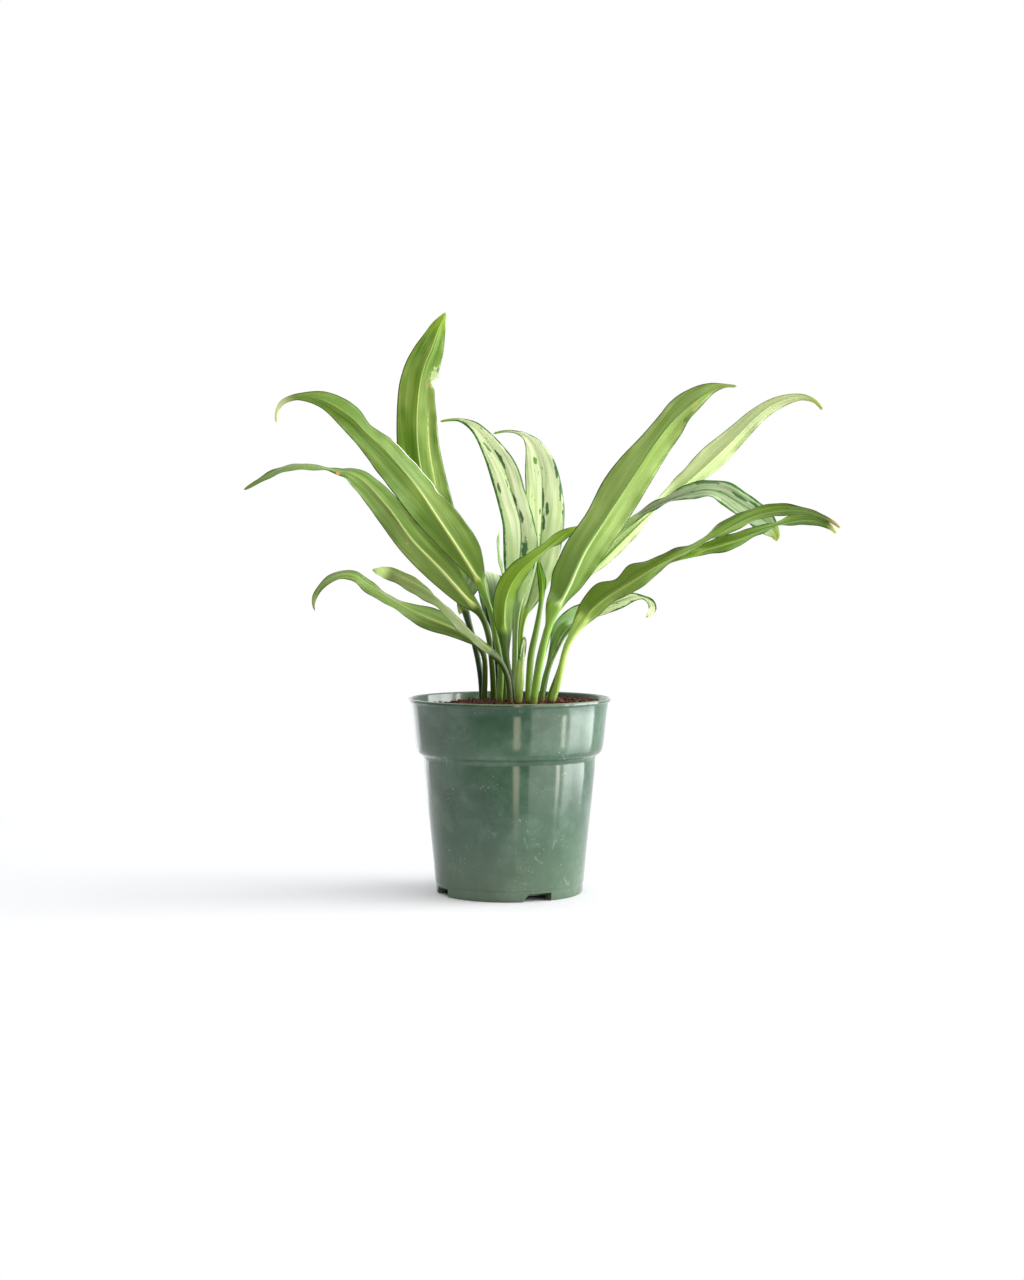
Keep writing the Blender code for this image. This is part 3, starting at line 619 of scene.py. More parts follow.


# The near black-green stalks of leaf_tall, leaf_back, leaf_left_low, leaf_left_middle, spear_back and
# leaf_front are partly their own dark green and partly painted shade where the stalks crowd together at the
# base
LEAVES = [
    Leaf("leaf_tall", "green_leaf", 5, False, (0.8, 3, 0.0), Look(
        (112, 143, 58), (78, 112, 36), (200, 209, 138), (180, 196, 118), (130, 160, 64), (42, 60, 26),
        spots=[
            (206.0, 7.6, 6.4, 2.2, (186, 204, 150), 0.8),
            (200.2, 4.6, 1.9, 0.9, (170, 134, 96), 0.85), (210.0, 8.6, 2.0, 0.9, (66, 96, 40), 0.8),
            (160.0, 6.6, 26.0, 0.5, (196, 212, 130), 0.6),
        ],
    ), [
        (-15.5, 27, 110, 1.8), (-16.9, 26, 126, 1.7), (-19.9, 25, 141, 1.7), (-24, 23, 156, 2),
        (-27.6, 20.5, 170, 3.4, 3.4, 0, -10), (-32, 18, 184, 7.72, 7.72, 5, -10),
        (-37.5, 15, 199, 11.6, 11.6, 5, -10), (-44, 12, 215, 13, 13.5, 0, -10),
        (-49, 10, 234, 13, 13.5, 0, -10), (-52, 8, 253, 12.1, 12.5, 0, -10),
        (-52.5, 6, 270, 11.6, 11.6, 5, -10), (-51, 3, 287, 11.6, 9.17, 10, -10),
        (-48.5, 0, 298, 10.6, 9.65, 15, -10), (-44, -4, 309, 8.69, 7.72, 20, -10),
        (-39.5, -8, 321.5, 4.34, 3.86, 20, -10), (-36, -10, 329, 0.7, 0.7, 20, -10),
    ], bites=((0.768, 0.014, 2.4), (0.79, 0.008, -0.6))),
    Leaf("leaf_left_high", "green_leaf", 7, False, (1.2, 3.5, 0.6), Look(
        (113, 143, 70), (87, 117, 53), (190, 202, 117), (96, 105, 58), (206, 220, 158), (117, 154, 62),
        foot=(94, 123, 51), tip_from=0.88, rim=(0.3, 0.58),
    ), [
        (-5.5, 4, 110, 1.8), (-5, 3, 130, 1.7), (-7.7, 0, 144, 1.7), (-10, -3, 157, 1.7),
        (-13, -6, 166.5, 1.7), (-16.5, -9, 175, 2.4, 3, 0, -10),
        (-20, -11, 181, 3.83, 6.71, -10, -11), (-27.5, -15, 193, 7.18, 11.5, -10, -11),
        (-39.5, -21, 211, 11, 11, 0, -11), (-53.7, -27, 231.6, 12.5, 9.1, 15, -11),
        (-70, -32, 250.4, 10.5, 8.14, 20, -11), (-81, -35, 260.5, 8.14, 8.14, 15, -11),
        (-90, -37, 269.7, 7.66, 7.66, 5, -11), (-104.8, -39, 278.6, 4.02, 5.75, 0, -11),
        (-119, -40, 281.2, 1.8, 2.2, 0, 0), (-128, -40, 278.6, 1.5), (-131.5, -40, 273.5, 1),
        (-132.2, -40, 266.8, 0.6),
    ], bites=(
        (0.64, 0.05, 2.6), (0.585, 0.02, 0.7), (0.45, 0.025, -0.5), (0.335, 0.022, 1.5), (0.24, 0.03, -0.4),
    )),
    Leaf("leaf_left_middle", "green_leaf", 5, False, (1.0, 4, 2.0), Look(
        (128, 158, 86), (100, 126, 62), (200, 212, 132), (166, 176, 106), (104, 126, 58), (78, 100, 42),
        foot=(98, 124, 52),
        spots=[(181.5, -1.6, 1.3, 0.8, (204, 150, 96), 0.9), (123.0, -3.3, 0.9, 0.7, (196, 164, 92), 0.8)],
        rim=(0.2, 0.42),
    ), [
        (-9, 20, 110, 1.8), (-10, 17, 130, 1.7), (-12.5, 12, 148, 1.7),
        (-17, 8, 159, 2.2, 2.4, 0, -10), (-25.3, 4, 168, 5.75, 5.27, 0, -11),
        (-39.5, 0, 184, 9.1, 9.1, 0, -11), (-55.4, -4, 200.4, 9.1, 9.1, 0, -11),
        (-67.9, -8, 217.4, 8.81, 8.14, 10, -11), (-82, -11, 232.8, 7.18, 7.18, 25, -11),
        (-90, -13, 238, 5.17, 5.36, 45, -11), (-96, -14, 239, 2.6, 2.8, 60, -10),
        (-102.5, -16, 240.4, 1.6, 1.8, 65, -5), (-108, -17, 241.6, 3.4, 2.4, 60, -10),
        (-116, -18, 242.8, 5, 3.4, 55, -10), (-126, -19, 241.6, 3.6, 3.6, 55, -10),
        (-136, -20, 237.4, 2.4, 2.4, 45, 0), (-144.6, -21, 232.3, 1.4, 1.4, 30, 0),
        (-150.8, -22, 228.8, 0.6, 0.6, 30, 0),
    ]),
    Leaf("leaf_left_low", "green_leaf", 5, False, (1.2, 3, 1.0), Look(
        (130, 158, 86), (100, 126, 64), (154, 174, 102), (150, 168, 108), (160, 174, 112), (72, 86, 42),
        foot=(96, 120, 58), spots=[(47.0, -3.0, 2.2, 1.0, (150, 96, 60), 0.7)],
    ), [
        (-14.5, 19, 110, 1.7), (-14, 17, 122, 1.6), (-14.5, 13, 134, 1.6),
        (-18, 10, 141, 2, 2.2, 0, -10), (-23, 8, 145, 3.5, 4, 0, -15),
        (-32.7, 6, 150.4, 5.5, 6, 0, -20), (-45, 4, 155.4, 7, 7.2, 0, -20),
        (-56.5, 2, 160.6, 5, 5, 25, -20), (-69, 0, 167.6, 4.5, 4.5, 45, -20),
        (-80.4, -1, 175, 4.5, 4.5, 55, -15), (-88, -3, 180, 4, 4, 45, -10),
        (-96, -4, 180.8, 3.6, 3.6, 35, -10), (-104, -5, 177, 2.6, 2.6, 30, 0),
        (-110, -5, 169.6, 1.6, 1.6, 30, 0), (-111.5, -6, 164, 1, 1, 30, 0),
        (-110.6, -6, 160, 0.6, 0.6, 30, 0),
    ]),
    Leaf("leaf_left_folded", "green_leaf", 5, False, (0.7, 3, 0.0), Look(
        (104, 118, 70), (83, 98, 55), (125, 135, 81), (134, 146, 88), (172, 196, 122), (66, 82, 46),
        foot=(88, 103, 55), tip_from=0.86, rim=(0.4, 0.9),
    ), [
        (0.3, -16, 110, 1.6), (-1, -17, 122, 1.6), (-4.4, -19, 130, 1.7, 1.7, 20, 0),
        (-8.5, -21, 135, 2.4, 2.4, 45, -10), (-14.5, -24, 141, 4.5, 4.5, 60, -20),
        (-23.6, -28, 149.6, 6, 6, 68, -20), (-33.8, -32, 160, 6.5, 6.5, 70, -20),
        (-41.2, -35, 167.2, 6.8, 6.8, 68, -20), (-48.6, -37, 173, 7, 7, 60, -20),
        (-56.5, -39, 177.6, 6.8, 6.8, 52, -20), (-64.5, -41, 181.6, 6, 6, 45, -24),
        (-71.5, -42, 184, 5, 4.6, 42, -38), (-75.4, -43, 184, 4, 3.6, 40, -50),
        (-78, -43, 183.4, 1.6, 1.2, 35, -40),
    ]),
    Leaf("leaf_silver_left", "silver_leaf", 5, True, (0.7, 3, 1.5), Look(
        OLIVE, (89, 124, 49), LIME_RIB, (148, 180, 92), (140, 168, 70), (127, 150, 95),
        bands=(1.3, 0.45), flecks=0.4, foot=(145, 174, 107),
        spots=[
            (166.5, -2.0, 4.5, 0.6, DARK, 0.8), (157.0, 0.8, 6.5, 0.9, DARK, 0.9),
            (139.0, -6.6, 4.5, 0.8, DARK, 0.9), (130.0, 0.5, 4.5, 0.7, DARK, 0.9),
            (119.0, 1.4, 6.0, 0.9, DARK, 0.9), (99.0, 2.4, 8.0, 1.7, DARK, 0.9),
        ],
    ), [
        (2.6, 14, 110, 1.8), (3, 15, 130, 1.7), (3.2, 16, 148, 1.7),
        (3.7, 18, 160, 2.6, 2.6, 0, 10), (4.3, 21, 172, 5.7, 5.7, 0, 7),
        (5.4, 24, 186, 9.025, 9.025, 0, 7), (6.5, 27, 198.7, 10.45, 9.975, 0, 7),
        (6, 31, 210.6, 10.45, 8.075, 0, 7), (2, 36, 224.8, 9.69, 7.79, 0, 7),
        (-2.6, 41, 239.6, 9.5, 7.6, 5, 7), (-9.4, 46, 251.5, 6.84, 6.08, 5, 7),
        (-19.6, 51, 263.6, 3, 3.8, 10, 10), (-28, 55, 268.2, 1.2), (-35, 58, 268.2, 0.8),
        (-39.5, 60, 267.4, 0.6),
    ]),
    Leaf("leaf_silver_right", "silver_leaf", 5, True, (0.7, 3, 0.0), Look(
        OLIVE, (91, 123, 50), LIME_RIB, (152, 177, 98), (140, 168, 70), (142, 166, 82),
        bands=(0.5, 0.5), flecks=0.2, foot=(142, 163, 107),
        spots=[
            (157.6, -2.2, 3.2, 1.1, (90, 140, 60), 0.9), (133.0, 0.3, 7.0, 0.7, DARK, 0.9),
            (126.2, 2.8, 4.8, 1.1, DARK, 0.95), (119.0, 1.2, 5.5, 0.8, DARK, 0.95),
            (125.0, -1.3, 2.2, 0.6, DARK, 0.8), (152.0, 9.2, 8.0, 1.2, DARK, 0.9),
            (136.5, 10.6, 4.5, 0.8, DARK, 0.8), (124.0, 13.2, 9.0, 1.3, DARK, 0.9),
        ],
    ), [
        (5.8, 27, 110, 1.8), (6, 27, 130, 1.7), (6.4, 28, 148, 1.7), (8, 29, 158, 2.6, 2.6, 0, 10),
        (10.4, 31, 166, 4.75, 5.7, 0, 7), (13, 33, 175, 7.125, 8.55, 0, 7),
        (15.6, 36, 186.2, 9.025, 11.4, 0, 7), (17.3, 40, 198.7, 9.975, 12.82, 0, 7),
        (18.5, 46, 216.3, 9.975, 13.3, 0, 7), (18.5, 51, 230, 9.975, 11.59, 0, 7),
        (17.4, 56, 242, 9.31, 9.12, 0, 7), (14, 60, 252.6, 5.7, 5.7, 5, 7),
        (9.5, 62, 258.6, 2.5, 2.6, 5, 10), (4.5, 64, 261.2, 1.1), (-2, 66, 262, 0.8),
        (-9.4, 68, 260.6, 0.6),
    ]),
    Leaf("leaf_front", "pale_leaf", 5, False, (0.6, 2, 0.5), Look(
        (122, 153, 60), (106, 138, 50), (140, 170, 73), (160, 182, 80), (172, 194, 84), (52, 69, 34),
        foot=(85, 114, 36),
    ), [
        (1.8, -3, 110, 1.8), (0.2, -4, 122, 1.8), (-2, -6, 134, 2),
        (-2.8, -8, 144, 3.2, 3.6, 5, -10), (-3.2, -11, 155, 5.8, 6, 10, -20),
        (-2.4, -14, 166, 7, 6.8, 15, -20), (0.8, -17, 175, 7, 6.6, 20, -20),
        (6.4, -19, 183, 6.4, 6, 30, -20), (13.3, -21, 189.6, 5.4, 5.2, 45, -20),
        (20.2, -22, 195, 4.6, 4.6, 50, -20), (26.4, -23, 200, 4.2, 4.2, 40, -10),
        (33, -23, 204.6, 3, 3, 30, 0), (40.6, -24, 208, 0.6, 0.6, 20, 0),
    ]),
    Leaf("leaf_right_high", "green_leaf", 7, False, (1.0, 3.5, 2.5), Look(
        (156, 183, 109), (125, 155, 71), (188, 215, 142), (87, 126, 40), (142, 158, 92), (123, 161, 74),
        foot=(91, 126, 54),
        spots=[(204.0, 1.6, 2.6, 0.7, (196, 176, 120), 0.75), (197.0, 4.6, 5.0, 1.4, (96, 124, 48), 0.7)],
    ), [
        (13.9, -18, 110, 2.1), (15.8, -19, 121, 2.1), (17.4, -20, 130, 2), (19.6, -22, 141, 2),
        (22.6, -24, 152, 2.4, 2, 0, 0), (26.4, -26, 160.6, 6.4, 2.4, 0, -10),
        (30.4, -28, 167.2, 9.6, 3.4, -5, -20), (34.4, -30, 175, 12.6, 6.6, -5, -20),
        (38.3, -32, 184, 12.8, 9.2, -5, -20), (43.6, -35, 195, 12.2, 10.8, 0, -20),
        (53.1, -39, 210, 11.4, 11.4, 0, -20), (63.3, -43, 226, 13.2, 11.4, 0, -20),
        (72, -47, 239.6, 12, 10.8, 0, -20), (82.1, -51, 254.6, 8.8, 9.8, 0, -20),
        (90.4, -54, 265.4, 8, 9, 0, -20), (98, -56, 273, 9.8, 6, -10, -20),
        (106.5, -58, 280, 8, 4.4, -10, -20), (114.6, -59, 285.2, 4.2, 2.2, 0, -10),
        (121.8, -60, 287.6, 1.2), (129.2, -60, 287.2, 0.6),
    ]),
    Leaf("leaf_right_pale", "pale_leaf", 7, False, (0.8, 4, 1.0), Look(
        (200, 212, 165), (175, 195, 129), (109, 160, 51), (212, 220, 173), (140, 158, 78), (95, 129, 53),
        edge=(146, 160, 92),
    ), [
        (13.6, 17, 110, 1.7), (16.2, 17, 130, 1.6), (19.2, 16, 143, 1.6), (23, 14, 155, 1.6),
        (29.6, 11, 167, 1.6), (40, 7, 178.6, 2, 2, 0, -5), (51.4, 3, 187.6, 3.6, 4, 10, -20),
        (59, 0, 195, 5.4, 5.4, 20, -20), (69, -4, 205, 5.6, 5.4, 30, -20),
        (81, -8, 216.6, 5.4, 5.4, 62, -15), (92.3, -11, 226.5, 5.6, 5.6, 50, -15),
        (102.4, -14, 234.6, 6.6, 6.2, 30, -20), (114.5, -17, 245, 8.8, 7, 10, -20),
        (129, -20, 259, 6.8, 5.6, 5, -20), (139.5, -23, 269.6, 5.4, 4.6, 0, -20),
        (150.6, -25, 277.4, 3.8, 3.8, 0, -15), (164, -27, 281.2, 2), (172.6, -28, 279, 1.2),
        (177.5, -28, 273.7, 0.6),
    ]),
    Leaf("leaf_right_arching", "silver_leaf", 10, True, (1.0, 4, 0.0), Look(
        (122, 142, 88), (96, 117, 63), LIME_RIB, (151, 176, 96), (150, 170, 80), (162, 187, 114),
        bands=(1.3, 0.8), flecks=0.6, foot=(129, 129, 101),
        silver=((179, 197, 156), (135, 155, 120), (113, 133, 96)),
        spots=[
            (179.0, -5.0, 8.0, 1.2, (70, 100, 44), 0.8), (196.6, -3.4, 5.0, 0.9, DARK, 0.9),
            (205.8, -4.4, 4.0, 0.9, DARK, 0.9),
        ],
    ), [
        (14.6, 4, 110, 1.7), (17.4, 3, 128, 1.6), (20.4, 2, 141, 1.6), (24, 0, 153.8, 1.6),
        (30.6, -4, 167.5, 1.6), (40.6, -9, 182, 1.7), (51.4, -14, 194.7, 1.8, 1.8, -20, 0),
        (60.5, -18, 203.2, 2.2, 2.2, -40, 5), (69.6, -21, 211.2, 3, 3, -60, 10),
        (80, -23, 218, 4, 4, -60, 15), (91, -24, 223.2, 5, 5, -58, 15),
        (102, -25, 226.8, 6, 6, -48, 15), (111, -26, 228.8, 6.8, 6.8, -40, 15),
        (120, -26, 227, 7.4, 7.4, -30, 15), (129, -27, 221.8, 7.6, 7.6, -25, 15),
        (137, -27, 216.4, 7.6, 7.6, -20, 15), (145.2, -27, 209.6, 6.6, 6.6, -15, 15),
        (150.8, -27, 203.6, 3, 3, 0, 5), (151.6, -27, 199.6, 0.7),
    ]),
    Leaf("leaf_right_long", "green_leaf", 7, False, (1.2, 5, 0.0), Look(
        (112, 139, 65), (77, 104, 42), (125, 145, 72), (122, 140, 74), TAN, (182, 210, 117),
        edge=(84, 62, 42), tip_from=0.93,
    ), [
        (24.4, -2, 108, 1.9), (26.6, -4, 116, 1.9), (29.3, -8, 127, 1.8), (31.6, -11, 137, 1.8),
        (35, -14, 145, 2), (40.4, -17, 153.6, 4.4, 3.4, 0, -10), (46.9, -20, 161.4, 8, 6, 0, -20),
        (54.8, -23, 168, 9.4, 5.4, 5, -20), (62.8, -26, 173, 5.8, 6, 5, -20),
        (71.9, -29, 178.6, 8.8, 6.6, 5, -20), (81, -32, 184.4, 5.4, 5.8, 15, -20),
        (90, -35, 189.4, 4, 4.4, 40, -20), (99.1, -37, 193.8, 4.4, 4.6, 55, -15),
        (108.2, -39, 198, 4.6, 4.6, 58, -15), (117.3, -41, 203.2, 4.8, 4.8, 55, -15),
        (126.6, -42, 208.6, 5.4, 5.4, 45, -15), (136.8, -43, 213.4, 5.6, 5.6, 40, -15),
        (147, -44, 216.2, 5, 5, 40, -15), (157, -45, 217.4, 3.8, 3.8, 40, -10),
        (167.3, -46, 217, 2.6, 2.6, 40, 0), (176.4, -46, 214.2, 1.6, 1.6, 30, 0),
        (183.6, -46, 210.4, 1, 1, 20, 0), (188.3, -46, 206.7, 0.6, 0.6, 20, 0),
    ]),
    Leaf("leaf_right_under", "green_leaf", 9, False, (0.8, 4, 1.0), Look(
        (104, 132, 54), (70, 100, 36), (130, 158, 74), (112, 140, 60), (190, 204, 124), (122, 156, 64),
    ), [
        (22, 6, 108, 1.6), (28.6, 1, 127, 1.5), (33.4, -4, 143, 1.5), (42, -8, 155, 1.5),
        (55, -14, 167.5, 1.5), (72, -20, 178.4, 1.5), (90, -26, 188.4, 1.6),
        (102.5, -29, 192.6, 2.2, 2.4, 0, -5), (111.6, -31, 195.4, 3.4, 3.6, 10, -15),
        (120.7, -33, 197.8, 4.6, 5, 15, -15), (130, -34, 200.8, 4.6, 5, 25, -15),
        (139.6, -35, 204.8, 4.2, 4.4, 55, -10), (149.1, -36, 208.2, 4.2, 4.2, 62, -10),
        (159.3, -37, 210.8, 4.4, 4.4, 55, -10), (168.4, -38, 212, 4.4, 4.4, 40, -10),
        (176.4, -38, 210.6, 3, 3, 30, 0), (182.4, -39, 207.4, 1.4, 1.4, 20, 0),
        (186, -39, 203.8, 0.6, 0.6, 20, 0),
    ]),
    Leaf("leaf_right_low", "silver_leaf", 6, True, (0.6, 4, 1.0), Look(
        (143, 175, 99), (112, 149, 72), LIME_RIB, (204, 211, 178), (226, 222, 172), (78, 101, 50),
        bands=(0.9, 0.5), flecks=0.4, foot=(112, 155, 94),
    ), [
        (18.2, -5, 108, 1.8), (20, -4, 120, 1.8), (23, -2, 131, 1.8),
        (26.6, 0, 139, 4.2, 1.8, 0, 5), (31.5, 3, 147.6, 8, 2, 0, 10),
        (38.9, 5, 155, 8.6, 3, 0, 15), (46.3, 6, 159.6, 6.4, 4, 0, 15),
        (54.2, 5, 162.8, 4.6, 4.6, 0, 15), (62.8, 3, 166, 4, 4.6, 0, 15),
        (70.4, 1, 168.2, 2.4, 2.8, 0, 10), (76, 0, 167.8, 1.2), (80, -1, 165.4, 2),
        (81.2, -2, 161.6, 2.4, 2.2, 0, 0), (79.6, -3, 158.4, 1.6, 1.4, 0, 0),
        (77.5, -3, 156.4, 0.6),
    ]),
    Leaf("leaf_back", "green_leaf", 5, True, (0.8, 3, 0.0), Look(
        (104, 132, 58), (68, 94, 36), LIME_RIB, (150, 180, 90), (140, 168, 70), (44, 58, 26),
        foot=(60, 84, 34),
    ), [
        (-7.5, 31, 110, 1.8), (-8, 30, 130, 1.7), (-8.6, 30, 148, 1.8, 1.8, 0, 5),
        (-9.6, 32, 159, 5, 5, 0, 15), (-10.8, 35, 169, 8, 8, 10, 20),
        (-12.8, 41, 177, 9.5, 9.5, 25, 20), (-15.6, 52, 183, 10, 10, 40, 20),
        (-19.6, 65, 182, 9.6, 9.6, 40, 20), (-23.6, 77, 175.4, 7.6, 7.6, 30, 20),
        (-26.6, 87, 166.4, 4.4, 4.4, 20, 15), (-28.6, 94, 158, 0.7, 0.7, 10, 0),
    ], side=Vector((1, 0, 0))),
    Leaf("spear_front", "green_leaf", 6, False, (0.0, 1, 0.0), Look(
        (112, 157, 47), (74, 111, 37), (121, 161, 54), (130, 171, 58), (134, 172, 66), (117, 145, 70),
    ), [
        (10.6, -8, 108, 1.9), (11.2, -8, 122, 1.9), (12.4, -9, 136, 1.9), (15.4, -9, 150, 1.7),
        (17.8, -10, 164, 1.4), (18.5, -10, 171, 2, 1.8, 0, -15), (18.5, -10, 177, 2.6, 2.6, 0, -20),
        (17.4, -10, 183, 1.9, 2, 0, -15), (16.3, -10, 189, 0.6),
    ]),
    Leaf("spear_back", "green_leaf", 5, False, (0.0, 1, 0.0), Look(
        (104, 140, 48), (74, 104, 40), (120, 150, 60), (120, 150, 60), (134, 172, 66), (84, 108, 40),
    ), [
        (-3, 13, 110, 1.5), (-3, 12, 132, 1.3), (-2.6, 11, 152, 1.2, 1.2, 40, 0),
        (-2.4, 10, 168, 2, 2, 70, -5), (-3.7, 8, 182, 3.2, 3.2, 75, -10),
        (-5.6, 7, 191.6, 3.2, 3.2, 75, -10), (-6.4, 6, 199, 2.2, 2.2, 75, -10),
        (-6, 5, 205.5, 0.6, 0.6, 75, 0),
    ]),
    Leaf("shoot_centre", "pale_leaf", 4, True, (0.0, 1, 0.0), Look(
        (150, 168, 84), (90, 120, 50), (160, 180, 90), (160, 180, 90), (180, 190, 100), (145, 171, 90),
    ), [
        (5.3, -12, 108, 1.8), (5.3, -12, 119, 2.9), (6, -12, 129, 2.1),
        (7, -12, 136, 1.8, 2.2, 0, 10), (8, -12, 142, 1.8, 1.8, 0, 15), (8.4, -12, 146, 0.6),
    ]),
]


class Blade:
    """The places on one leaf that its colours follow, and its noises, as values of its material."""

    def __init__(self, nodes, seed):
        self.across, self.along, _ = nodes.parts(nodes.attribute("place"))
        self.share, self.way, self.flat = nodes.parts(nodes.attribute("share"))
        self.upper, self.inward, _ = nodes.parts(nodes.attribute("face"))
        self.reach = abs(self.across)
        self.wide = (self.reach + self.inward).rises(2.0, 6.0)
        self.right = nodes.maths("GREATER_THAN", self.across, 0.0)
        self.half = self.right * 7.0 + seed * 13.7
        lane = self.share - self.way * VEIN_DRIFT
        self.streaks = nodes.noise(nodes.vector(lane * 4.0, self.along * 0.02, self.half), detail=1.0)
        self.lines = nodes.noise(nodes.vector(lane * 11.0, self.along * 0.03, self.half), detail=1.0)
        self.broad = nodes.noise(nodes.vector(self.across * 0.07, self.along * 0.035, self.half))
        grain = nodes.vector(self.across * 0.5, self.along * 0.3, self.half)
        self.mottle = nodes.noise(grain, detail=1.0, roughness=0.6)


def underside(nodes, look, at):
    """Green with soft pale streaks along its veins, a midrib and a dark edge."""
    body = nodes.mix(at.streaks.rises(0.22, 0.74), look.deep, look.green)
    pale = nodes.mix(0.4, look.green, look.rib)
    body = nodes.mix(at.broad.rises(0.42, 0.7) * 0.35, body, pale)
    body = nodes.mix(at.lines.rises(0.5, 0.75) * at.wide * 0.15, body, look.rib)
    # Painted shade in part: the foot colour darkens the base of most blades, where they crowd together; on
    # some leaves it is their own paler or greyer tint there
    body = nodes.mix(at.way.falls(0.05, 0.4) * 0.75, body, look.foot)
    width = at.way.falls(0.0, 0.6) * 0.8 + at.way.falls(0.5, 1.0) * 0.15 + 0.32
    rib = (at.reach / width).falls(0.4, 1.2)
    rib_colour = nodes.mix(at.way.rises(0.2, 0.6), look.rib, look.rib_tip)
    body = nodes.mix(rib * (0.92 - at.way * 0.4), body, rib_colour)
    return nodes.mix(at.inward.falls(0.25, 0.7) * 0.88, body, look.edge)


def silver_side(nodes, look, at):
    """Silvery cream with faint streaks, ragged dark bands at the margins, and flecks by the dark midrib."""
    body = nodes.mix(at.streaks.rises(0.3, 0.7), look.silver_deep, look.silver)
    body = nodes.mix(at.lines.rises(0.46, 0.62) * at.wide * 0.6, body, look.silver_line)
    # Painted shade in part: the foot colour darkens the base of most blades, where they crowd together; on
    # some leaves it is their own paler or greyer tint there
    body = nodes.mix(at.way.falls(0.08, 0.45) * 0.8, body, look.foot)
    grain = nodes.vector(at.across * 0.5, at.along * 0.16, at.half)
    ragged = nodes.noise(grain, detail=3.0, roughness=0.65)
    stretch = nodes.noise(nodes.vector(at.along * 0.05, at.half)).rises(0.42, 0.6)
    left, right = look.bands
    band = left * (1.0 - at.right) + right * at.right * (0.3 + 1.5 * stretch)
    dark = (band * (0.25 + 1.5 * ragged) - at.inward).rises(-0.2, 0.2)
    grain = nodes.vector(at.across * 0.8, at.along * 0.13, at.half + 3.0)
    flake = nodes.noise(grain, detail=3.0, roughness=0.62)
    beside = at.reach.falls(0.6, 3.2).most(at.inward.falls(0.8, 3.5))
    dark = dark.most((flake + beside * 0.1 * look.flecks).rises(0.655, 0.72) * 0.9)
    dark = dark.most(at.reach.falls(0.2, 0.6) * at.way.falls(0.45, 0.85) * 0.75)
    green = nodes.mix(at.mottle.rises(0.3, 0.7), leaf_colour(*FLECK_DEEP), leaf_colour(*FLECK))
    return nodes.mix(dark, body, green)


def with_spots(nodes, look, at, body):
    """Adds the leaf's own spots and its painted rim highlight."""
    for along, across, long, wide, tint, strength in look.spots:
        there = (at.along - along) / long
        aside = (at.across - across) / wide
        gone = nodes.maths("SQRT", there * there + aside * aside) + (at.mottle - 0.5) * 1.6
        body = nodes.mix(gone.falls(0.7, 1.1) * strength, body, leaf_colour(*tint))
    if look.rim:
        start, end = look.rim
        # Painted highlight: a pale line along the right margin, as where that edge catches the light
        lit = at.inward.falls(0.15, 0.45) * at.right
        lit = lit * at.way.rises(start, start + 0.05) * at.way.falls(end - 0.05, end)
        body = nodes.mix(lit, body, leaf_colour(*RIM_HIGHLIGHT))
    return body


def leaf_finish(leaf, seed):
    """One leaf's surface, from its grooved stalk to its tip."""
    look = leaf.look
    nodes = Nodes(bpy.data.materials.new(leaf.name))
    at = Blade(nodes, seed)
    blade = nodes.mix(at.upper, underside(nodes, look, at), silver_side(nodes, look, at))
    blade = with_spots(nodes, look, at, blade)
    blade = nodes.mix(at.way.rises(look.tip_from, look.tip_from + 0.07) * 0.9, blade, look.tip)
    threads = nodes.noise(nodes.vector(at.share * 9.0, at.along * 0.02, seed * 3.1))
    stalk = nodes.mix(threads.rises(0.35, 0.65) * 0.45, look.stalk, look.deep)
    stalk = nodes.mix((at.along + at.mottle * 8.0).falls(13.0, 20.0) * 0.6, stalk, leaf_colour(*EARTH))
    body = nodes.mix(at.flat.rises(0.1, 0.7).most(at.reach.rises(2.0, 3.4)), stalk, blade)
    height = (at.lines * at.wide * 0.5 + at.streaks * 0.5) * at.reach.rises(0.1, 1.5) + at.mottle * 0.12
    return nodes.surface(
        Base_Color=body,
        Roughness=0.31 + at.mottle * 0.14,
        Specular_IOR_Level=0.5,
        Normal=nodes.bump(height, 0.0004, 0.35),
    )


def real_place(x, depth, height):
    """Where a point of the front view lies, once it is moved along its line of sight to its depth."""
    spread = 1.0 + depth / SIGHT_DISTANCE
    return Vector((x * spread, depth, SIGHT_HEIGHT + (height - SIGHT_HEIGHT) * spread))


def smooth(share):
    share = min(max(share, 0.0), 1.0)
    return share * share * (3.0 - 2.0 * share)


class Station:
    """One step along a leaf, with what its section needs.

    Row is its number among the leaf's rows, its distance from the root and its values. Way is how far along
    the blade it lies, from 0 to 1, and along is the leaf's direction there.
    """

    def __init__(self, leaf, row, way, along):
        position, self.distance, values = row
        self.centre = Vector(values[:3])
        self.way = way
        self.left, self.right = max(values[3], LEAST_WIDTH), max(values[4], LEAST_WIDTH)
        for bitten, length, depth in leaf.bites:
            self.right -= depth * math.exp(-(((way - bitten) / length) ** 2))
        self.thick = sum(leaf.rows[leaf.blade - 2][3:5]) / 2
        turn, self.fold = math.radians(values[5]), math.radians(values[6])
        side = leaf.side - along * leaf.side.dot(along) if leaf.side else Vector((0, 1, 0)).cross(along)
        side.normalize()
        self.across = side * math.cos(turn) + along.cross(side) * math.sin(turn)
        self.front = self.across.cross(along).normalized()
        self.flat = smooth(position - leaf.blade + 1.0)
        height, count, phase = leaf.wave
        self.swell = height * math.sin(math.pi * way)
        self.wave = math.tau * count * way + phase


def slopes_at(knots, values):
    """How fast each value changes at each knot, from the knots beside it."""
    last = len(values) - 1
    slopes = []
    for i in range(len(values)):
        low, high = max(i - 1, 0), min(i + 1, last)
        slopes.append([(b - a) / (knots[high] - knots[low]) for a, b in zip(values[low], values[high])])
    return slopes


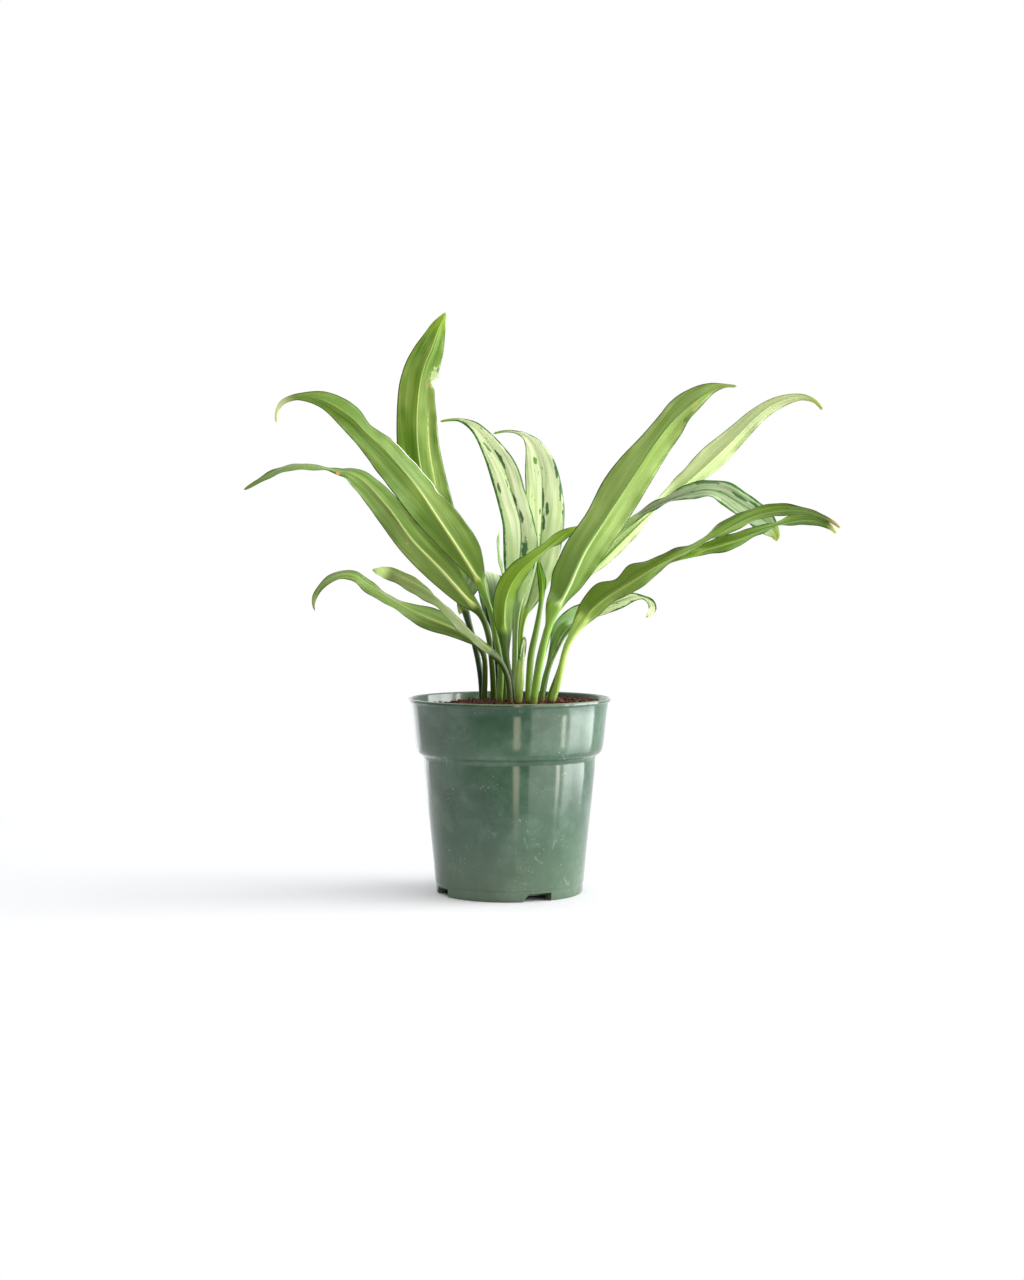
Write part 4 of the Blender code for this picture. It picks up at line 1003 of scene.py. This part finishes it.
def between(t, span, start, start_slopes, end, end_slopes):
    """The values on a smooth curve, a share t of the span from start to end."""
    return [
        (2 * t**3 - 3 * t**2 + 1) * a + (t**3 - 2 * t**2 + t) * span * m
        + (3 * t**2 - 2 * t**3) * b + (t**3 - t**2) * span * n
        for a, m, b, n in zip(start, start_slopes, end, end_slopes)
    ]


def fine_rows(leaf, knots, values):
    """The leaf's rows and smooth steps between them: the row's number, the distance and the values."""
    slopes = slopes_at(knots, values)
    last = len(values) - 1
    rows = []
    for i in range(last):
        span = knots[i + 1] - knots[i]
        pieces = math.ceil(span / (BLADE_STEP if i >= leaf.blade - 2 else STALK_STEP))
        for piece in range(pieces):
            t = piece / pieces
            mixed = between(t, span, values[i], slopes[i], values[i + 1], slopes[i + 1])
            rows.append((i + t, knots[i] + t * span, mixed))
    rows.append((float(last), knots[last], values[last]))
    return rows


def stations(leaf):
    """Smooth steps from the root to the tip."""
    places = [real_place(*row[:3]) for row in leaf.rows]
    knots = [0.0]
    for before, after in zip(places, places[1:]):
        knots.append(knots[-1] + (after - before).length)
    values = [[*place, *row[3:]] for place, row in zip(places, leaf.rows)]
    rows = fine_rows(leaf, knots, values)
    start, end = knots[leaf.blade - 1], knots[-1]
    centres = [Vector(mixed[:3]) for _, _, mixed in rows]
    made = []
    for i, row in enumerate(rows):
        way = min(max((row[1] - start) / (end - start), 0.0), 1.0)
        along = (centres[min(i + 1, len(rows) - 1)] - centres[max(i - 1, 0)]).normalized()
        made.append(Station(leaf, row, way, along))
    return made


def leaning(leaf, at, column, share, width):
    """How far the middle of the blade's thickness stands out by its waves, frill, pleats, fold and arch."""
    reach = width * abs(share)
    ripple = at.swell * share**2 * math.sin(at.wave + WAVE_LAG * share)
    frill = math.sin(math.tau * at.distance / FRILL_LENGTH + FRILL_LAG * share)
    ripple += FRILL * smooth(at.way * FRILL_RISE) * share**4 * frill
    phase = math.tau * PLEATS * abs(share) + PLEAT_DRIFT * at.way + leaf.wave[2]
    pleat = math.cos(phase + PLEAT_SHIFT * (column < 0))
    pleat *= PLEAT * width * abs(share) * (1.0 - share**2) * 2.0
    fold = math.sin(at.fold) * (math.sqrt(reach**2 + SOFT_FOLD**2) - SOFT_FOLD)
    arch = ARCH * width * 4.0 * abs(share) * (1.0 - abs(share)) * (1.0 if leaf.upper_in_front else -1.0)
    return fold + ripple + pleat + arch


def half_thickness(at, share, width, upper):
    """Half the thickness of the blade, less in the groove above the midrib and more on the rib below it."""
    reach = width * abs(share) / (RIB_REACH * (1.0 - RIB_TAPER * at.way))
    near_rib = math.exp(-(reach**2)) * (1.0 - at.way) * min(width / RIB_WIDTH, 1.0)
    return HALF_BLADE * (1.0 - abs(share) ** 3) + (-GROOVE if upper else RIB) * near_rib


def section_point(leaf, at, column, facing):
    """A point of the section: column is -1 at the left margin and 1 at the right, facing is 1 in front."""
    share = column * abs(column) * (2.0 - abs(column))
    width = at.left if column < 0 else at.right
    upper = (facing > 0) == leaf.upper_in_front
    lean = leaning(leaf, at, column, share, width) + facing * half_thickness(at, share, width, upper)
    aside = math.copysign(width * abs(share), column)
    blade = at.centre + at.across * math.cos(at.fold) * aside + at.front * lean
    angle = math.pi / 2 * (1.0 - column)
    channel = CHANNEL * math.exp(-((column / CHANNEL_HALF) ** 2)) * smooth(at.distance / CHANNEL_START)
    over = math.sin(angle) * facing * (1.0 - (channel if upper else 0.0))
    stalk = at.centre + at.across * math.cos(angle) * width + at.front * over * min(width, at.thick)
    return stalk.lerp(blade, at.flat), share


def make_leaf(leaf, number):
    """A leaf as one closed skin, closed to a point at both ends, that carries what its colours follow."""
    shape = bmesh.new()
    place_layer = shape.verts.layers.float_vector.new("place")
    share_layer = shape.verts.layers.float_vector.new("share")
    face_layer = shape.verts.layers.float_vector.new("face")
    steps = stations(leaf)
    last = len(steps) - 1

    def place(vert, turn, step):
        at = steps[step]
        facing = 1.0 if turn <= 2 * HALF_COLUMNS else -1.0
        columns = turn - HALF_COLUMNS if facing > 0 else 3 * HALF_COLUMNS - turn
        column = columns / HALF_COLUMNS
        point, share = section_point(leaf, at, column, facing)
        width = at.left if column < 0 else at.right
        upper = 0.5 if abs(column) == 1.0 else float((facing > 0) == leaf.upper_in_front)
        vert.co = (at.centre if step in (0, last) else point) * MM
        vert[place_layer] = (share * width, at.distance, 0.0)
        vert[share_layer] = (abs(share), at.way, at.flat)
        vert[face_layer] = (upper, width * (1.0 - abs(share)), 0.0)

    skin(shape, 4 * HALF_COLUMNS, last, place)
    piece = finish_shape(shape, f"{leaf.name}_blade", leaf_finish(leaf, number))
    join_frame(piece, leaf.slot, leaf.name)


# Floor, light and camera


def make_floor():
    """A plain pale floor that fades into the white around it."""
    shape = bmesh.new()
    bmesh.ops.create_circle(shape, cap_ends=True, segments=96, radius=2.0)
    nodes = Nodes(bpy.data.materials.new("floor"))
    x, y, _ = nodes.parts(nodes.place())
    x = (x + FLOOR_LEFT) * FLOOR_NARROW
    y = y - FLOOR_BACK
    away = nodes.maths("SQRT", x * x + y * y)
    paint = nodes.add("ShaderNodeBsdfDiffuse", {}, {"Color": colour(241, 241, 243)})
    clear = nodes.add("ShaderNodeBsdfTransparent", {}, {})
    nodes.finish(nodes.add("ShaderNodeMixShader", {}, {0: away.rises(*FLOOR_FADE), 1: paint, 2: clear}))
    mesh = bpy.data.meshes.new("floor")
    shape.to_mesh(mesh)
    shape.free()
    link("floor", mesh, nodes.owner)


def make_light(name, turned, away, height, size, radiance, tint):
    """A soft rectangle of light that faces the plant."""
    data = bpy.data.lights.new(name, "AREA")
    data.shape = "RECTANGLE"
    data.size, data.size_y = size
    data.energy = radiance * math.pi * size[0] * size[1]
    data.color = tint
    light = bpy.data.objects.new(name, data)
    angle = math.radians(turned)
    place = Vector((away * math.sin(angle), -away * math.cos(angle), height))
    light.location = place
    light.rotation_euler = (Vector((0.0, 0.0, AIM_HEIGHT)) - place).to_track_quat("-Z", "Y").to_euler()
    light.visible_camera = False
    bpy.context.scene.collection.objects.link(light)


def make_world():
    """White all round for the eye. The light it gives is strong from behind and weak from the front."""
    world = bpy.data.worlds.new("studio")
    bpy.context.scene.world = world
    nodes = Nodes(world, "ShaderNodeOutputWorld")
    direction = nodes.add("ShaderNodeTexCoord")
    aim = nodes.toward(direction, WORLD_AIM).rises(-0.6, 0.8)
    tint = nodes.mix(aim, WORLD_DIM, WORLD_BRIGHT)
    glow = nodes.add("ShaderNodeBackground", {}, {"Color": tint})
    white = nodes.add("ShaderNodeBackground", {}, {"Color": (1.0, 1.0, 1.0, 1.0)})
    seen = nodes.add("ShaderNodeLightPath")
    nodes.finish(nodes.add("ShaderNodeMixShader", {}, {0: seen, 1: glow, 2: white}))


def make_camera():
    data = bpy.data.cameras.new("camera")
    data.sensor_width = SENSOR
    data.lens = FOCAL_PIXELS / IMAGE_HEIGHT * SENSOR
    camera = bpy.data.objects.new("camera", data)
    camera.location = EYE
    camera.rotation_euler = (math.pi / 2 - math.atan(LOOKS_DOWN / FOCAL_PIXELS), 0.0, 0.0)
    bpy.context.scene.collection.objects.link(camera)
    bpy.context.scene.camera = camera


make_pot()
soil_material = coir()
make_soil(soil_material)
make_crumbs(soil_material)
make_fibres(soil_material)
for number, leaf in enumerate(LEAVES):
    make_leaf(leaf, number)
make_floor()
make_world()
for row in LIGHTS:
    make_light(*row)
make_camera()
bpy.context.scene.view_settings.view_transform = "Standard"
